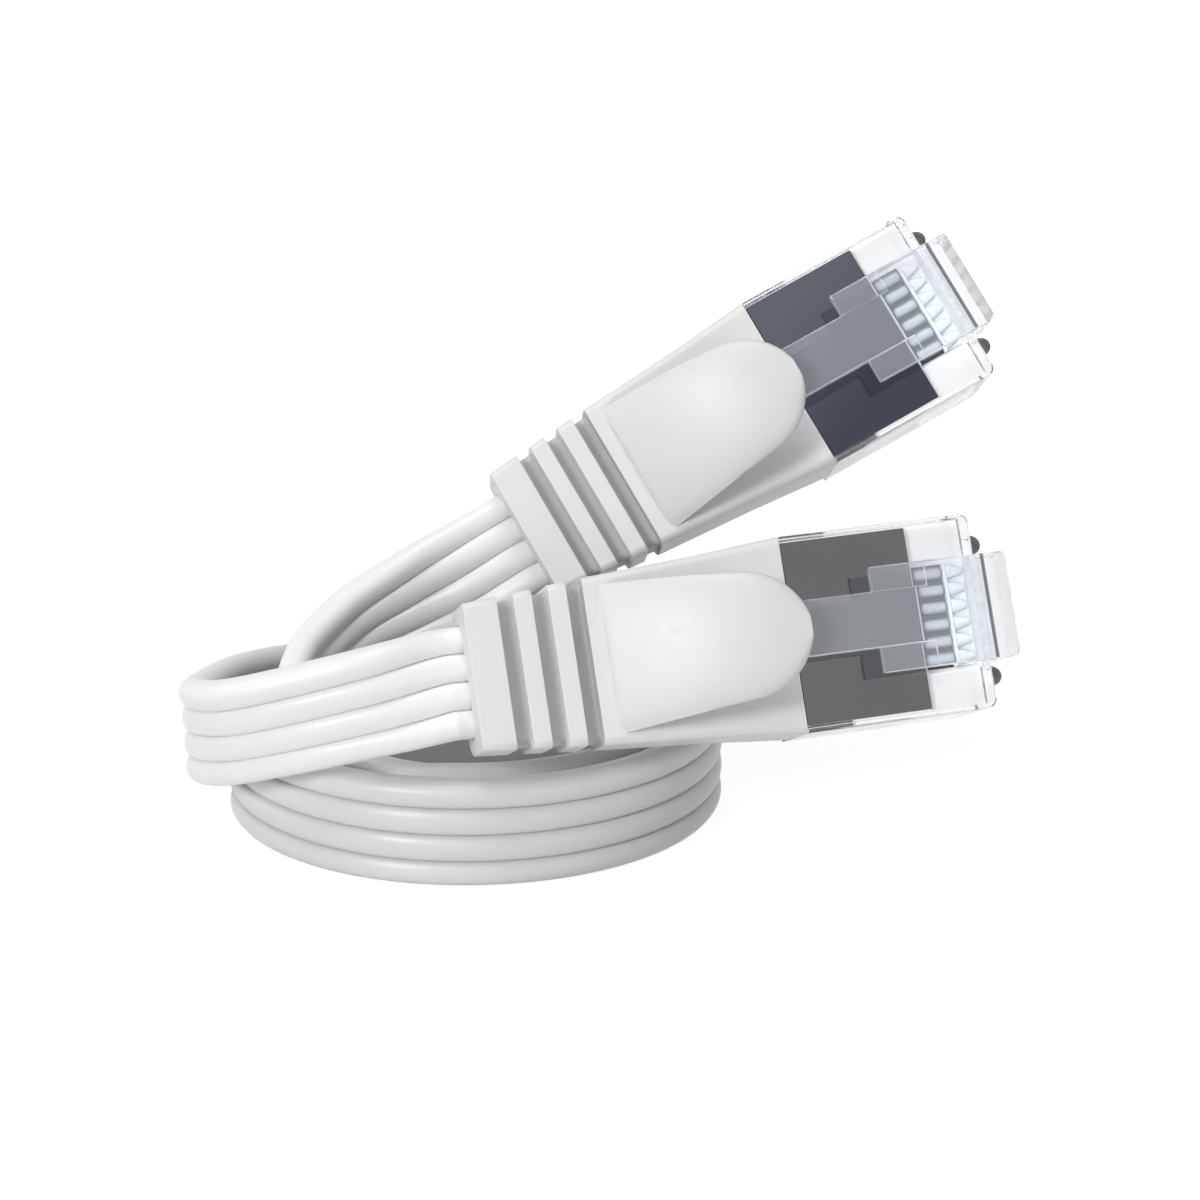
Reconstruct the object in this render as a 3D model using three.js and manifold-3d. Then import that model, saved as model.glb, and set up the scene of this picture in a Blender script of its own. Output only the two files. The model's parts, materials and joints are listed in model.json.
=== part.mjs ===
import * as THREE from "three";
import { mergeVertices } from "three/addons/utils/BufferGeometryUtils.js";
import Module from "manifold-3d";

// A short flat ethernet patch cable: a ribbed flat cord wound into a coil that
// stands on its edge, with a shielded 8-way modular plug and a snagless boot on
// each end. Millimetres, +Z up, origin under the middle of the whole part.
//
// Each plug is modelled in its own frame: +X towards the nose, +Y across the
// plug, +Z out of the side that carries the latch. X = 0 is the nose and Z = 0
// is the latch side's face.

const wasm = await Module();
wasm.setup();

// ---- plug and its clearances ------------------------------------------------
const plugWidth = 11.68;
const plugDepth = 6.6;
const plugLength = 21.46;
const contactCount = 8;
const contactPitch = 1.02;
const fitGap = 0.12;
const softGap = 0.3;

// ---- housing ----------------------------------------------------------------
const noseWindow = 3.95;
const noseRound = 0.7;
const bodyLength = 11.68;
const neckWidth = 7.5;
const neckDepth = 2.6;
const rimWidth = 0.3;
const noseWall = 0.7;
const ledgeRadius = 0.6;
const ledgeOffset = 3.95;
const ledgeDepth = 2.6;

// ---- conductors, load bar, contacts -----------------------------------------
const wireDiameter = 0.82;
const wireBoreGap = 0.07;
const wirePitchInCord = 0.8;
const wireRowDepth = 3.2;
const wireNoseGap = 1.95;
const barLength = 4.4;
const barWidth = 9.0;
const barDepth = 2.2;
const barNoseGap = 4.6;
const wireFanLength = 2.0;
const contactThickness = 0.36;
const contactLength = 3.6;
const contactRecess = 0.25;
const contactBevel = 0.5;
const contactProngLength = 0.5;

// ---- shield -----------------------------------------------------------------
const shieldSheet = 0.25;
const shieldContactSide = 7.6;
const neckBareLength = 1.18;

// ---- latch ------------------------------------------------------------------
const latchWidth = 6.2;
const latchTailWidth = 3.25;
const latchShoulder = 8.36;
const latchTailPastBootFront = 1.6;
const latchReach = 1.1;
const latchRootHeight = 2.2;
const latchShoulderHeight = 2.77;
const latchTailHeight = 2.95;
const latchThickness = 0.9;
const latchTailThickness = 0.75;
const latchHook = 1.4;
const latchEdgeBevel = 0.3;
const latchHeelHeight = 0.4;
const latchHeelLength = 1.2;
const latchHeelSlope = 0.7;
const latchPivotHeight = 0.6;

// ---- boot and its tongue ----------------------------------------------------
const bootLength = 19.0;
const bootRearWidth = 8.6;
const bootBodyEndWidth = 9.8;
const bootLift = 0.35;
const bootFrontDepth = 7.0;
const bootRearDepth = 5.6;
const flangeLength = 2.0;
const ribLength = 1.1;
const grooveLength = 0.95;
const grooveCount = 3;
const grooveDepth = 0.6;
const grooveSideDepth = 0.3;
const bootBackBevel = 2.2;
const bootEdgeBevel = 0.6;
const bevelBulge = 0.3;
const bootCoreGap = 0.2;
const tongueRootWidth = 8.8;
const tongueTipWidth = 7.4;
const tongueLength = 11.15;
const tongueReachPastBoot = 0.15;
const tongueLatchGap = 0.35;
const tongueRootThickness = 0.5;
const tongueTipThickness = 1.1;
const tongueCrown = 0.35;
const tonguePivotInset = 0.5;
const tongueRoundShare = 0.66;
const tongueFullRiseShare = 0.87;
const ferruleLength = 3.6;
const ferruleSheet = 0.25;

// ---- cord -------------------------------------------------------------------
const cordWidth = 6.6;
const cordThickness = 2;
const cordLobes = 4;
const lobeGroove = 0.45;
const edgeFlatHalf = 0.23;
const coilRadius = 14.73;
const turnStep = 2.55;
const coilStartAngle = 114;
const coilEndAngle = -452;
const stepInStart = -163;
const stepInEnd = -225;
const coilStepAngle = 9;
const leadStepsPerPoint = 3;
const cordFootFlat = 0.19;

// ---- where the plugs lie, in the coil's frame (mm and degrees) --------------
const plugPlaces = {
  a: { nose: [30.66, -9.6, 15.22], yaw: 12.91, pitch: 3.63, roll: 23.97 },
  b: { nose: [29.88, 5.15, 31.61], yaw: 15.81, pitch: 26.23, roll: 27.75 },
};

// ---- the cord's free routes, chosen by hand: each point has its place and the
// ---- way the cord's upper edge leans there ----------------------------------
const routeToPlugA = [
  { at: [-12.3, 9.25, 3.8], lean: [0, 0, 1] },
  { at: [-15.45, 4.45, 4.6], lean: [0, 0, 1] },
  { at: [-16.95, -1.55, 5.4], lean: [0, 0.03, 1] },
  { at: [-16.15, -7.65, 6.85], lean: [-0.08, -0.11, 1] },
  { at: [-12.65, -13.1, 8.93], lean: [-0.27, -0.15, 1] },
  { at: [-5.35, -14.76, 11.11], lean: [-0.1, 0, 1] },
];
const routeToPlugB = [
  { at: [-6.05, -10.55, 3.45], lean: [-0.03, -0.08, 1] },
  { at: [-9.0, -7.45, 5.05], lean: [-0.19, -0.25, 0.95] },
  { at: [-10.1, -4.4, 7.2], lean: [-0.29, -0.5, 0.74] },
  { at: [-9.3, -2.4, 9.4], lean: [-0.4, -0.6, 0.66] },
  { at: [-7.15, -1.2, 11.4], lean: [-0.38, -0.52, 0.7] },
  { at: [-3.5, -0.65, 13.3], lean: [-0.59, -0.27, 0.77] },
  { at: [-0.65, -0.35, 14.65], lean: [-0.44, 0.13, 0.82] },
];

// ---- materials --------------------------------------------------------------
function finish(color, roughness, metalness = 0, opacity = 1) {
  const look = { color, roughness, metalness, opacity, transparent: opacity < 1 };
  return new THREE.MeshStandardMaterial(look);
}
const clearPlastic = finish(0xeef2f5, 0.12, 0, 0.45);
const frostedPlastic = finish(0xdfe6ec, 0.4, 0, 0.8);
const shieldMetal = finish(0x5c5e63, 0.25, 0.9);
const goldPlate = finish(0xd8b35a, 0.25, 1);
const wireSleeve = finish(0xf1f1ee, 0.5);
const bootVinyl = finish(0xe9e9ea, 0.45);
const cordVinyl = finish(0xeeeeee, 0.38);
const ferruleMetal = finish(0xb8b9bb, 0.35, 0.9);

// ---- solids -----------------------------------------------------------------
function toSolid(geometry) {
  const bare = geometry.clone();
  bare.deleteAttribute("normal");
  bare.deleteAttribute("uv");
  const merged = mergeVertices(bare);
  const vertProperties = new Float32Array(merged.attributes.position.array);
  const triVerts = new Uint32Array(merged.index.array);
  return new wasm.Manifold(new wasm.Mesh({ numProp: 3, vertProperties, triVerts }));
}

function toGeometry(solid) {
  const { vertProperties, triVerts } = solid.getMesh();
  const geometry = new THREE.BufferGeometry();
  geometry.setAttribute("position", new THREE.BufferAttribute(vertProperties, 3));
  geometry.setIndex(new THREE.BufferAttribute(triVerts, 1));
  return geometry;
}

function block(x0, x1, y0, y1, z0, z1) {
  const box = new THREE.BoxGeometry(x1 - x0, y1 - y0, z1 - z0);
  return box.translate((x0 + x1) / 2, (y0 + y1) / 2, (z0 + z1) / 2);
}

function centredBlock(x0, x1, width, z0, z1) {
  return block(x0, x1, -width / 2, width / 2, z0, z1);
}

// An outline of [x, z] points, made `width` thick about the plane Y = y.
function sideProfile(outline, width, y = 0) {
  const shape = new THREE.Shape(outline.map(([x, z]) => new THREE.Vector2(x, z)));
  const plate = new THREE.ExtrudeGeometry(shape, { depth: width, bevelEnabled: false });
  return plate.rotateX(Math.PI / 2).translate(0, y + width / 2, 0);
}

// A flat bar along X with half-round edges.
function ovalAlongX(x0, x1, width, z, depth) {
  const straight = (width - depth) / 2;
  const outline = new THREE.Shape();
  outline.absarc(0, straight, depth / 2, 0, Math.PI, false);
  outline.absarc(0, -straight, depth / 2, Math.PI, 2 * Math.PI, false);
  outline.closePath();
  const bar = new THREE.ExtrudeGeometry(outline, {
    depth: x1 - x0,
    bevelEnabled: false,
    curveSegments: 4,
  });
  return bar.rotateY(Math.PI / 2).translate(x0, 0, z);
}

function rodAlongX(x0, x1, y, z, diameter, sides = 8) {
  const rod = new THREE.CylinderGeometry(diameter / 2, diameter / 2, x1 - x0, sides);
  return rod.rotateZ(Math.PI / 2).translate((x0 + x1) / 2, y, z);
}

// Rings of points, one after another, joined into one closed skin. Each ring
// has its points in the order of the flat outline, which closes the two ends.
function joinRings(rings, outline) {
  const perRing = outline.length;
  const positions = rings.flat().flatMap((point) => point.toArray());
  const index = [];
  for (let ring = 0; ring + 1 < rings.length; ring += 1) {
    for (let side = 0; side < perRing; side += 1) {
      const next = (side + 1) % perRing;
      const [a, b] = [ring * perRing + side, ring * perRing + next];
      index.push(a, b, b + perRing, a, b + perRing, a + perRing);
    }
  }
  const last = (rings.length - 1) * perRing;
  const clockwise = THREE.ShapeUtils.isClockWise(outline);
  for (const face of THREE.ShapeUtils.triangulateShape(outline, [])) {
    const [a, b, c] = clockwise ? face.reverse() : face;
    index.push(c, b, a, last + a, last + b, last + c);
  }
  return facingOut(positions, index);
}

function facingOut(positions, index) {
  const corner = (place) => new THREE.Vector3().fromArray(positions, 3 * index[place]);
  let volume = 0;
  for (let face = 0; face < index.length; face += 3) {
    volume += corner(face).dot(corner(face + 1).cross(corner(face + 2)));
  }
  const ordered = volume > 0 ? index : index.slice().reverse();
  const geometry = new THREE.BufferGeometry();
  geometry.setAttribute("position", new THREE.Float32BufferAttribute(positions, 3));
  geometry.setIndex(ordered);
  return geometry;
}

// ---- housing ----------------------------------------------------------------
const wireRow = -wireRowDepth;
const boreDiameter = wireDiameter + 2 * wireBoreGap;
const pocketEnd = barNoseGap + barLength + wireFanLength;
const neckTop = wireRow + neckDepth / 2;
const neckBottom = wireRow - neckDepth / 2;
const sheetSeat = shieldSheet + fitGap;
const plateWidth = plugWidth - 2 * rimWidth;
const bootFront = bodyLength + fitGap;

function contactPlaces() {
  const middle = (contactCount - 1) / 2;
  return Array.from({ length: contactCount }, (_, place) => place - middle);
}

function noseOutline() {
  const half = plugWidth / 2;
  const outline = new THREE.Shape();
  outline.moveTo(-bodyLength, -half);
  outline.lineTo(-noseRound, -half);
  outline.absarc(-noseRound, -half + noseRound, noseRound, -Math.PI / 2, 0, false);
  outline.absarc(-noseRound, half - noseRound, noseRound, 0, Math.PI / 2, false);
  outline.lineTo(-bodyLength, half);
  outline.closePath();
  return outline;
}

function housingBlank() {
  const body = new THREE.ExtrudeGeometry(noseOutline(), {
    depth: plugDepth,
    bevelEnabled: false,
    curveSegments: 4,
  }).translate(0, 0, -plugDepth);
  const neck = centredBlock(-plugLength, -bodyLength + 1, neckWidth, neckBottom, neckTop);
  const stepSeat = centredBlock(-bodyLength - 1, -bodyLength + sheetSeat, plateWidth, -plugDepth - 1, 1);
  let blank = toSolid(body).subtract(toSolid(stepSeat)).add(toSolid(neck));
  for (const side of [-1, 1]) {
    const ledge = new THREE.CylinderGeometry(ledgeRadius, ledgeRadius, ledgeDepth, 12);
    ledge.rotateX(Math.PI / 2).translate(0, side * ledgeOffset, -ledgeDepth / 2 - ledgeRadius);
    blank = blank.add(toSolid(ledge));
  }
  return blank;
}

function housing() {
  const cutDepth = plugDepth + 1;
  const cuts = [
    centredBlock(-cutDepth * 4, -noseWindow, plateWidth, -sheetSeat, 1),
    centredBlock(-cutDepth * 4, -shieldContactSide, plateWidth, -cutDepth, -plugDepth + sheetSeat),
    centredBlock(-pocketEnd, -barNoseGap + fitGap, barWidth + 2 * fitGap, ...pocketSpan()),
    centredBlock(-plugLength - 1, -pocketEnd + 1, wireRowWidth(), ...wireRowSpan()),
  ];
  for (const place of contactPlaces()) {
    const y = place * contactPitch;
    const slot = contactThickness / 2 + fitGap;
    const slotEnd = noseWall + contactLength + 2 * fitGap;
    cuts.push(rodAlongX(-barNoseGap - 1, -wireNoseGap + fitGap, y, wireRow, boreDiameter));
    cuts.push(block(-slotEnd, -noseWall, y - slot, y + slot, -cutDepth, wireRow));
  }
  const blank = housingBlank();
  return toGeometry(cuts.reduce((solid, cut) => solid.subtract(toSolid(cut)), blank));
}

function pocketSpan() {
  return [wireRow - barDepth / 2 - fitGap, wireRow + barDepth / 2 + fitGap];
}

// The room that the row of wires takes behind the load bar.
function wireRowWidth() {
  return (contactCount - 1) * wirePitchInCord + wireDiameter + 2 * fitGap;
}

function wireRowSpan() {
  return [wireRow - wireDiameter / 2 - fitGap, wireRow + wireDiameter / 2 + fitGap];
}

// ---- shield: a plate on each broad side, stepped down to a sleeve -----------
function shield() {
  const wallBack = -bodyLength;
  const wallFront = wallBack + shieldSheet;
  const inner = { width: neckWidth + 2 * fitGap, top: neckTop + fitGap, bottom: neckBottom - fitGap };
  const outer = inner.width + 2 * shieldSheet;
  const [top, bottom] = [inner.top + shieldSheet, inner.bottom - shieldSheet];
  const plate = plateWidth - 2 * fitGap;
  const pieces = [
    centredBlock(neckBareLength - plugLength, wallFront, outer, bottom, top),
    centredBlock(wallBack, -noseWindow - fitGap, plate, -shieldSheet, 0),
    centredBlock(wallBack, wallFront, plate, top - shieldSheet, 0),
    centredBlock(wallBack, -shieldContactSide - fitGap, plate, -plugDepth, -plugDepth + shieldSheet),
    centredBlock(wallBack, wallFront, plate, -plugDepth, bottom + shieldSheet),
  ];
  const joined = pieces.map(toSolid).reduce((solid, piece) => solid.add(piece));
  const bore = centredBlock(-plugLength - 1, 0, inner.width, inner.bottom, inner.top);
  return toGeometry(joined.subtract(toSolid(bore)));
}

// ---- latch ------------------------------------------------------------------
const latchTailEnd = bootFront + latchTailPastBootFront;
const latchPivot = { x: (softGap + latchReach) / 2, z: latchPivotHeight };

function latch() {
  const shoulder = latchReach - latchShoulder;
  const heelEnd = softGap - latchHeelLength;
  const wide = sideProfile([
    [latchReach, -latchHook],
    [latchReach, latchRootHeight - latchEdgeBevel],
    [latchReach - latchEdgeBevel, latchRootHeight],
    [shoulder, latchShoulderHeight],
    [shoulder, latchShoulderHeight - latchThickness],
    [heelEnd - latchHeelSlope, latchRootHeight - latchThickness],
    [heelEnd, latchHeelHeight],
    [softGap, latchHeelHeight],
    [softGap, -latchHook],
  ], latchWidth);
  const joint = shoulder + latchThickness;
  const jointHeight = latchShoulderHeight - latchThickness / 4;
  const tail = sideProfile([
    [joint, jointHeight],
    [-latchTailEnd, latchTailHeight],
    [-latchTailEnd, latchTailHeight - latchTailThickness],
    [joint, jointHeight - latchTailThickness / 2],
  ], latchTailWidth);
  return toGeometry(toSolid(wide).add(toSolid(tail)));
}

// ---- load bar, conductors and contacts --------------------------------------
function loadBar() {
  const back = -barNoseGap - barLength;
  const half = barDepth / 2;
  const bar = centredBlock(back, -barNoseGap, barWidth, wireRow - half, wireRow + half);
  return toGeometry(contactPlaces().reduce((solid, place) => {
    const bore = rodAlongX(back - 1, 1 - barNoseGap, place * contactPitch, wireRow, boreDiameter);
    return solid.subtract(toSolid(bore));
  }, toSolid(bar)));
}

function conductor(place) {
  const sides = 6;
  const rearEnd = -bootFront - bootLength + 2 * softGap;
  const fanEnd = -barNoseGap - barLength - fitGap;
  const stations = [
    [rearEnd, wirePitchInCord],
    [fanEnd - wireFanLength, wirePitchInCord],
    [fanEnd, contactPitch],
    [-wireNoseGap, contactPitch],
  ];
  const turn = (2 * Math.PI) / sides;
  const outline = Array.from({ length: sides }, (_, side) => new THREE.Vector2(
    (wireDiameter / 2) * Math.cos((side + 0.5) * turn),
    (wireDiameter / 2) * Math.sin((side + 0.5) * turn),
  ));
  const rings = stations.map(([x, pitch]) => outline.map(
    (point) => new THREE.Vector3(x, place * pitch + point.x, wireRow + point.y),
  ));
  return joinRings(rings, outline);
}

function contact(place) {
  const front = -noseWall - fitGap;
  const back = front - contactLength;
  const foot = -plugDepth + contactRecess;
  const shoulderTop = wireRow - wireDiameter / 2 - 2 * fitGap;
  const prongBase = shoulderTop - contactProngLength;
  const third = contactLength / 3;
  const outline = [
    [back, foot + contactBevel],
    [front - contactBevel, foot],
    [front, foot + contactBevel],
    [front, prongBase],
    [front - third / 2, prongBase],
    [front - third, shoulderTop],
    [front - third * 1.5, prongBase],
    [front - third * 2, shoulderTop],
    [front - third * 2.5, prongBase],
    [back, prongBase],
  ];
  return sideProfile(outline, contactThickness, place * contactPitch);
}

// ---- boot -------------------------------------------------------------------
const bootRear = bootFront + bootLength;
const bodyEnd = bootRear - flangeLength - grooveCount * grooveLength - (grooveCount - 1) * ribLength;

function bootTopAt(distance) {
  return bootLift * (1 - (distance - bootFront) / bootLength);
}

function bootSection(distance, inGroove = false) {
  const along = (distance - bootFront) / (bodyEnd - bootFront);
  const behind = Math.max(0, (distance - bodyEnd) / (bootRear - bodyEnd));
  const bodyWidth = THREE.MathUtils.lerp(plugWidth, bootBodyEndWidth, Math.min(1, along));
  const width = THREE.MathUtils.lerp(bodyWidth, bootRearWidth, behind);
  const share = (distance - bootFront) / bootLength;
  const inset = inGroove ? grooveDepth : 0;
  const half = width / 2 - (inGroove ? grooveSideDepth : 0);
  const top = bootTopAt(distance) - inset;
  const bottom = -THREE.MathUtils.lerp(bootFrontDepth, bootRearDepth, share) + inset;
  const [edge, back] = [bootEdgeBevel, bootBackBevel];
  const rightSide = [
    [half - edge, top],
    [half - edge * bevelBulge, top - edge * bevelBulge],
    [half, top - edge],
    [half, bottom + back],
    [half - back * bevelBulge, bottom + back * bevelBulge],
    [half - back, bottom],
  ];
  const leftSide = rightSide.map(([y, z]) => [-y, z]).reverse();
  return [...rightSide, ...leftSide].map(([y, z]) => new THREE.Vector2(y, z));
}

function bootStations() {
  const stations = [{ distance: bootFront, inGroove: false }, { distance: bodyEnd, inGroove: false }];
  for (let groove = 0; groove < grooveCount; groove += 1) {
    const start = bodyEnd + groove * (grooveLength + ribLength);
    const end = start + grooveLength;
    const next = end + (groove + 1 < grooveCount ? ribLength : flangeLength);
    stations.push({ distance: start, inGroove: true });
    stations.push({ distance: end, inGroove: true });
    stations.push({ distance: end, inGroove: false });
    stations.push({ distance: next, inGroove: false });
  }
  return stations;
}

function ferruleSpan() {
  const front = plugLength + 2 * softGap;
  return { front, back: front + ferruleLength };
}

function ferruleSize() {
  const bore = wireRowWidth();
  const clear = wireDiameter + 2 * fitGap;
  return { bore, clear, width: bore + 2 * ferruleSheet, depth: clear + 2 * ferruleSheet };
}

function boot() {
  const rings = bootStations().map(({ distance, inGroove }) => bootSection(distance, inGroove)
    .map(({ x, y }) => new THREE.Vector3(-distance, x, y)));
  const skin = joinRings(rings, bootSection(bootFront));
  const sleeve = shieldSheet + fitGap + bootCoreGap;
  const span = ferruleSpan();
  const { width, depth } = ferruleSize();
  const cuts = [
    centredBlock(-span.front, 0, neckWidth + 2 * sleeve, neckBottom - sleeve, neckTop + sleeve),
    ovalAlongX(-span.back - softGap, -plugLength, width + 2 * fitGap, wireRow, depth + 2 * fitGap),
    centredBlock(-bootRear - 1, -plugLength, wireRowWidth(), ...wireRowSpan()),
  ];
  return toGeometry(cuts.reduce((solid, cut) => solid.subtract(toSolid(cut)), toSolid(skin)));
}

function ferrule() {
  const { front, back } = ferruleSpan();
  const { bore, clear, width, depth } = ferruleSize();
  const outer = ovalAlongX(-back, -front, width, wireRow, depth);
  const inner = ovalAlongX(-back - 1, 1 - front, bore, wireRow, clear);
  return toGeometry(toSolid(outer).subtract(toSolid(inner)));
}

// ---- tongue: a sprung ramp over the latch's tail, with a round end ----------
const tongueRoot = bootFront - tongueReachPastBoot + tongueLength;
const tongueTipHeight = latchTailHeight + tongueLatchGap + tongueTipThickness;
const tongueRootHeight = bootTopAt(tongueRoot) + softGap + tongueRootThickness;
const tonguePivot = {
  x: -tongueRoot + tonguePivotInset,
  z: tongueRootHeight - tongueRootThickness / 2,
};

function tongueStation(share) {
  const straight = Math.min(1, share / tongueRoundShare);
  const taper = THREE.MathUtils.lerp(tongueRootWidth, tongueTipWidth, straight) / 2;
  const round = Math.max(0, (share - tongueRoundShare) / (1 - tongueRoundShare));
  const half = taper * Math.sqrt(Math.max(0, 1 - round * round));
  const rise = Math.sin((Math.min(1, share / tongueFullRiseShare) * Math.PI) / 2);
  const top = THREE.MathUtils.lerp(tongueRootHeight, tongueTipHeight, rise);
  const thickness = THREE.MathUtils.lerp(tongueRootThickness, tongueTipThickness, straight);
  return { half, top, thickness };
}

// Flat below, with a low crown above.
function tongueSection({ half, top, thickness }) {
  const crown = Math.min(tongueCrown, thickness / 2);
  return [
    [half, top - thickness],
    [half, top - crown],
    [half * 0.7, top - crown / 4],
    [0, top],
    [-half * 0.7, top - crown / 4],
    [-half, top - crown],
    [-half, top - thickness],
  ].map(([y, z]) => new THREE.Vector2(y, z));
}

function tongue() {
  const shares = [0, 0.12, 0.25, 0.4, 0.55, 0.66, 0.76, 0.85, 0.92, 0.965, 0.985];
  const rings = shares.map((share) => {
    const x = -tongueRoot + share * tongueLength;
    return tongueSection(tongueStation(share)).map((point) => new THREE.Vector3(x, point.x, point.y));
  });
  return joinRings(rings, tongueSection(tongueStation(0)));
}

// ---- cord: four fused lobes side by side, swept along a route ---------------
const rad = THREE.MathUtils.degToRad;
const coilHeight = cordWidth / 2 - cordFootFlat;
const coilStart = rad(coilStartAngle);
const coilEnd = rad(coilEndAngle);

function cordSection() {
  const [half, face] = [cordWidth / 2, cordThickness / 2];
  const lobe = cordWidth / cordLobes;
  const side = [];
  for (let place = 0; place < cordLobes; place += 1) {
    side.push([-half + (place + 0.5) * lobe, face]);
    if (place + 1 < cordLobes) side.push([-half + (place + 1) * lobe, face - lobeGroove]);
  }
  const mirrored = side.map(([across, out]) => [across, -out]).reverse();
  const [left, right] = [[-half, edgeFlatHalf], [half, edgeFlatHalf]];
  const below = ([across, out]) => [across, -out];
  return [left, ...side, right, below(right), ...mirrored, below(left)]
    .map(([across, out]) => new THREE.Vector2(across, out));
}

// Every full turn keeps its radius but for one stretch, where it steps inwards
// by one turn's pitch to lie inside its own start.
function coilRadiusAt(angle) {
  let radius = coilRadius;
  for (let lap = 0; rad(stepInStart) - lap * 2 * Math.PI > coilEnd; lap += 1) {
    const start = rad(stepInStart) - lap * 2 * Math.PI;
    const end = rad(stepInEnd) - lap * 2 * Math.PI;
    radius -= turnStep * THREE.MathUtils.smoothstep(start - angle, 0, start - end);
  }
  return radius;
}

function coilPoint(angle) {
  const radius = coilRadiusAt(angle);
  return new THREE.Vector3(radius * Math.cos(angle), radius * Math.sin(angle), coilHeight);
}

function coilTangent(angle) {
  const step = 1e-3;
  return coilPoint(angle - step).sub(coilPoint(angle + step)).normalize();
}

function plugTurn({ yaw, pitch, roll }) {
  return new THREE.Euler(rad(90 - roll), -rad(pitch), rad(yaw), "ZYX");
}

function plugExit(place, beyond) {
  const local = new THREE.Vector3(-bootRear - beyond, 0, wireRow);
  return local.applyEuler(plugTurn(place)).add(new THREE.Vector3(...place.nose));
}

function plugLean(place) {
  return new THREE.Vector3(0, 1, 0).applyEuler(plugTurn(place));
}

function coilLead(angle, outwards, beyond) {
  return coilPoint(angle).addScaledVector(coilTangent(angle), outwards * beyond);
}

// The free stretches run from the coil's ends to the boots' rear faces.
function leadStations(angle, outwards, route, place) {
  const straight = cordThickness;
  const up = new THREE.Vector3(0, 0, 1);
  return [
    { at: coilLead(angle, outwards, softGap), lean: up },
    { at: coilLead(angle, outwards, softGap + straight), lean: up },
    ...route.map(({ at, lean }) => ({ at: new THREE.Vector3(...at), lean: new THREE.Vector3(...lean) })),
    { at: plugExit(place, softGap + straight), lean: plugLean(place) },
    { at: plugExit(place, softGap), lean: plugLean(place) },
  ];
}

function ringAt(centre, tangent, lean, section) {
  const across = lean.clone().addScaledVector(tangent, -lean.dot(tangent)).normalize();
  const out = new THREE.Vector3().crossVectors(tangent, across);
  return section.map(({ x, y }) => centre.clone().addScaledVector(across, x).addScaledVector(out, y));
}

function leadRings(stations, stepsPerPoint, section) {
  const route = new THREE.CatmullRomCurve3(stations.map(({ at }) => at), false, "centripetal");
  const leans = new THREE.CatmullRomCurve3(stations.map(({ lean }) => lean), false, "catmullrom", 0.5);
  const steps = (stations.length - 1) * stepsPerPoint;
  return Array.from({ length: steps + 1 }, (_, step) => {
    const share = step / steps;
    return ringAt(route.getPoint(share), route.getTangent(share), leans.getPoint(share), section);
  });
}

function coilRings(stepAngle, section) {
  const steps = Math.round((coilStartAngle - coilEndAngle) / stepAngle);
  const up = new THREE.Vector3(0, 0, 1);
  return Array.from({ length: steps + 1 }, (_, step) => {
    const angle = coilStart + ((coilEnd - coilStart) * step) / steps;
    return ringAt(coilPoint(angle), coilTangent(angle), up, section);
  });
}

const stationsToPlugA = leadStations(coilStart, -1, routeToPlugA, plugPlaces.a);
const stationsToPlugB = leadStations(coilEnd, 1, routeToPlugB, plugPlaces.b);

// The cord lies on its lower edge, which is cut flat where it would dip below
// the surface that the coil stands on.
function standing(geometry) {
  const reach = 3 * coilRadius;
  const below = toSolid(block(-reach, reach, -reach, reach, -cordWidth, 0));
  return toGeometry(toSolid(geometry).subtract(below));
}

function cordLead(stations) {
  const section = cordSection();
  return standing(joinRings(leadRings(stations, leadStepsPerPoint, section), section));
}

function cordCoil() {
  const section = cordSection();
  return standing(joinRings(coilRings(coilStepAngle, section), section));
}

function leastBetween(ring, other) {
  return Math.min(...ring.flatMap((point) => other.map((spot) => point.distanceTo(spot))));
}

// Least distance between the cord's faces where it passes itself.
function leastGapToItself() {
  const section = cordSection();
  const rings = [
    ...leadRings(stationsToPlugA, 8, section).reverse(),
    ...coilRings(coilStepAngle / 4, section),
    ...leadRings(stationsToPlugB, 8, section),
  ];
  const middles = rings.map((ring) => ring[0].clone().add(ring[section.length >> 1]).multiplyScalar(0.5));
  const travelled = [0];
  for (let step = 1; step < middles.length; step += 1) {
    travelled.push(travelled[step - 1] + middles[step].distanceTo(middles[step - 1]));
  }
  let least = Infinity;
  for (let here = 0; here < rings.length; here += 1) {
    for (let there = here + 1; there < rings.length; there += 1) {
      if (travelled[there] - travelled[here] < 4 * cordWidth) continue;
      if (middles[here].distanceTo(middles[there]) > 2 * cordWidth) continue;
      least = Math.min(least, leastBetween(rings[here], rings[there]));
    }
  }
  return { least, total: travelled.at(-1) };
}

// ---- assembly ---------------------------------------------------------------
const group = new THREE.Group();

function addTo(parent, name, geometry, material) {
  const mesh = new THREE.Mesh(geometry, material);
  mesh.name = name;
  parent.add(mesh);
}

// A sprung piece turns about its pivot, so it hangs in a group that sits there.
function addSprung(parent, name, pivot, geometry, material) {
  const hinge = new THREE.Group();
  hinge.position.set(pivot.x, 0, pivot.z);
  geometry.translate(-pivot.x, 0, -pivot.z);
  addTo(hinge, name, geometry, material);
  parent.add(hinge);
}

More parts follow.
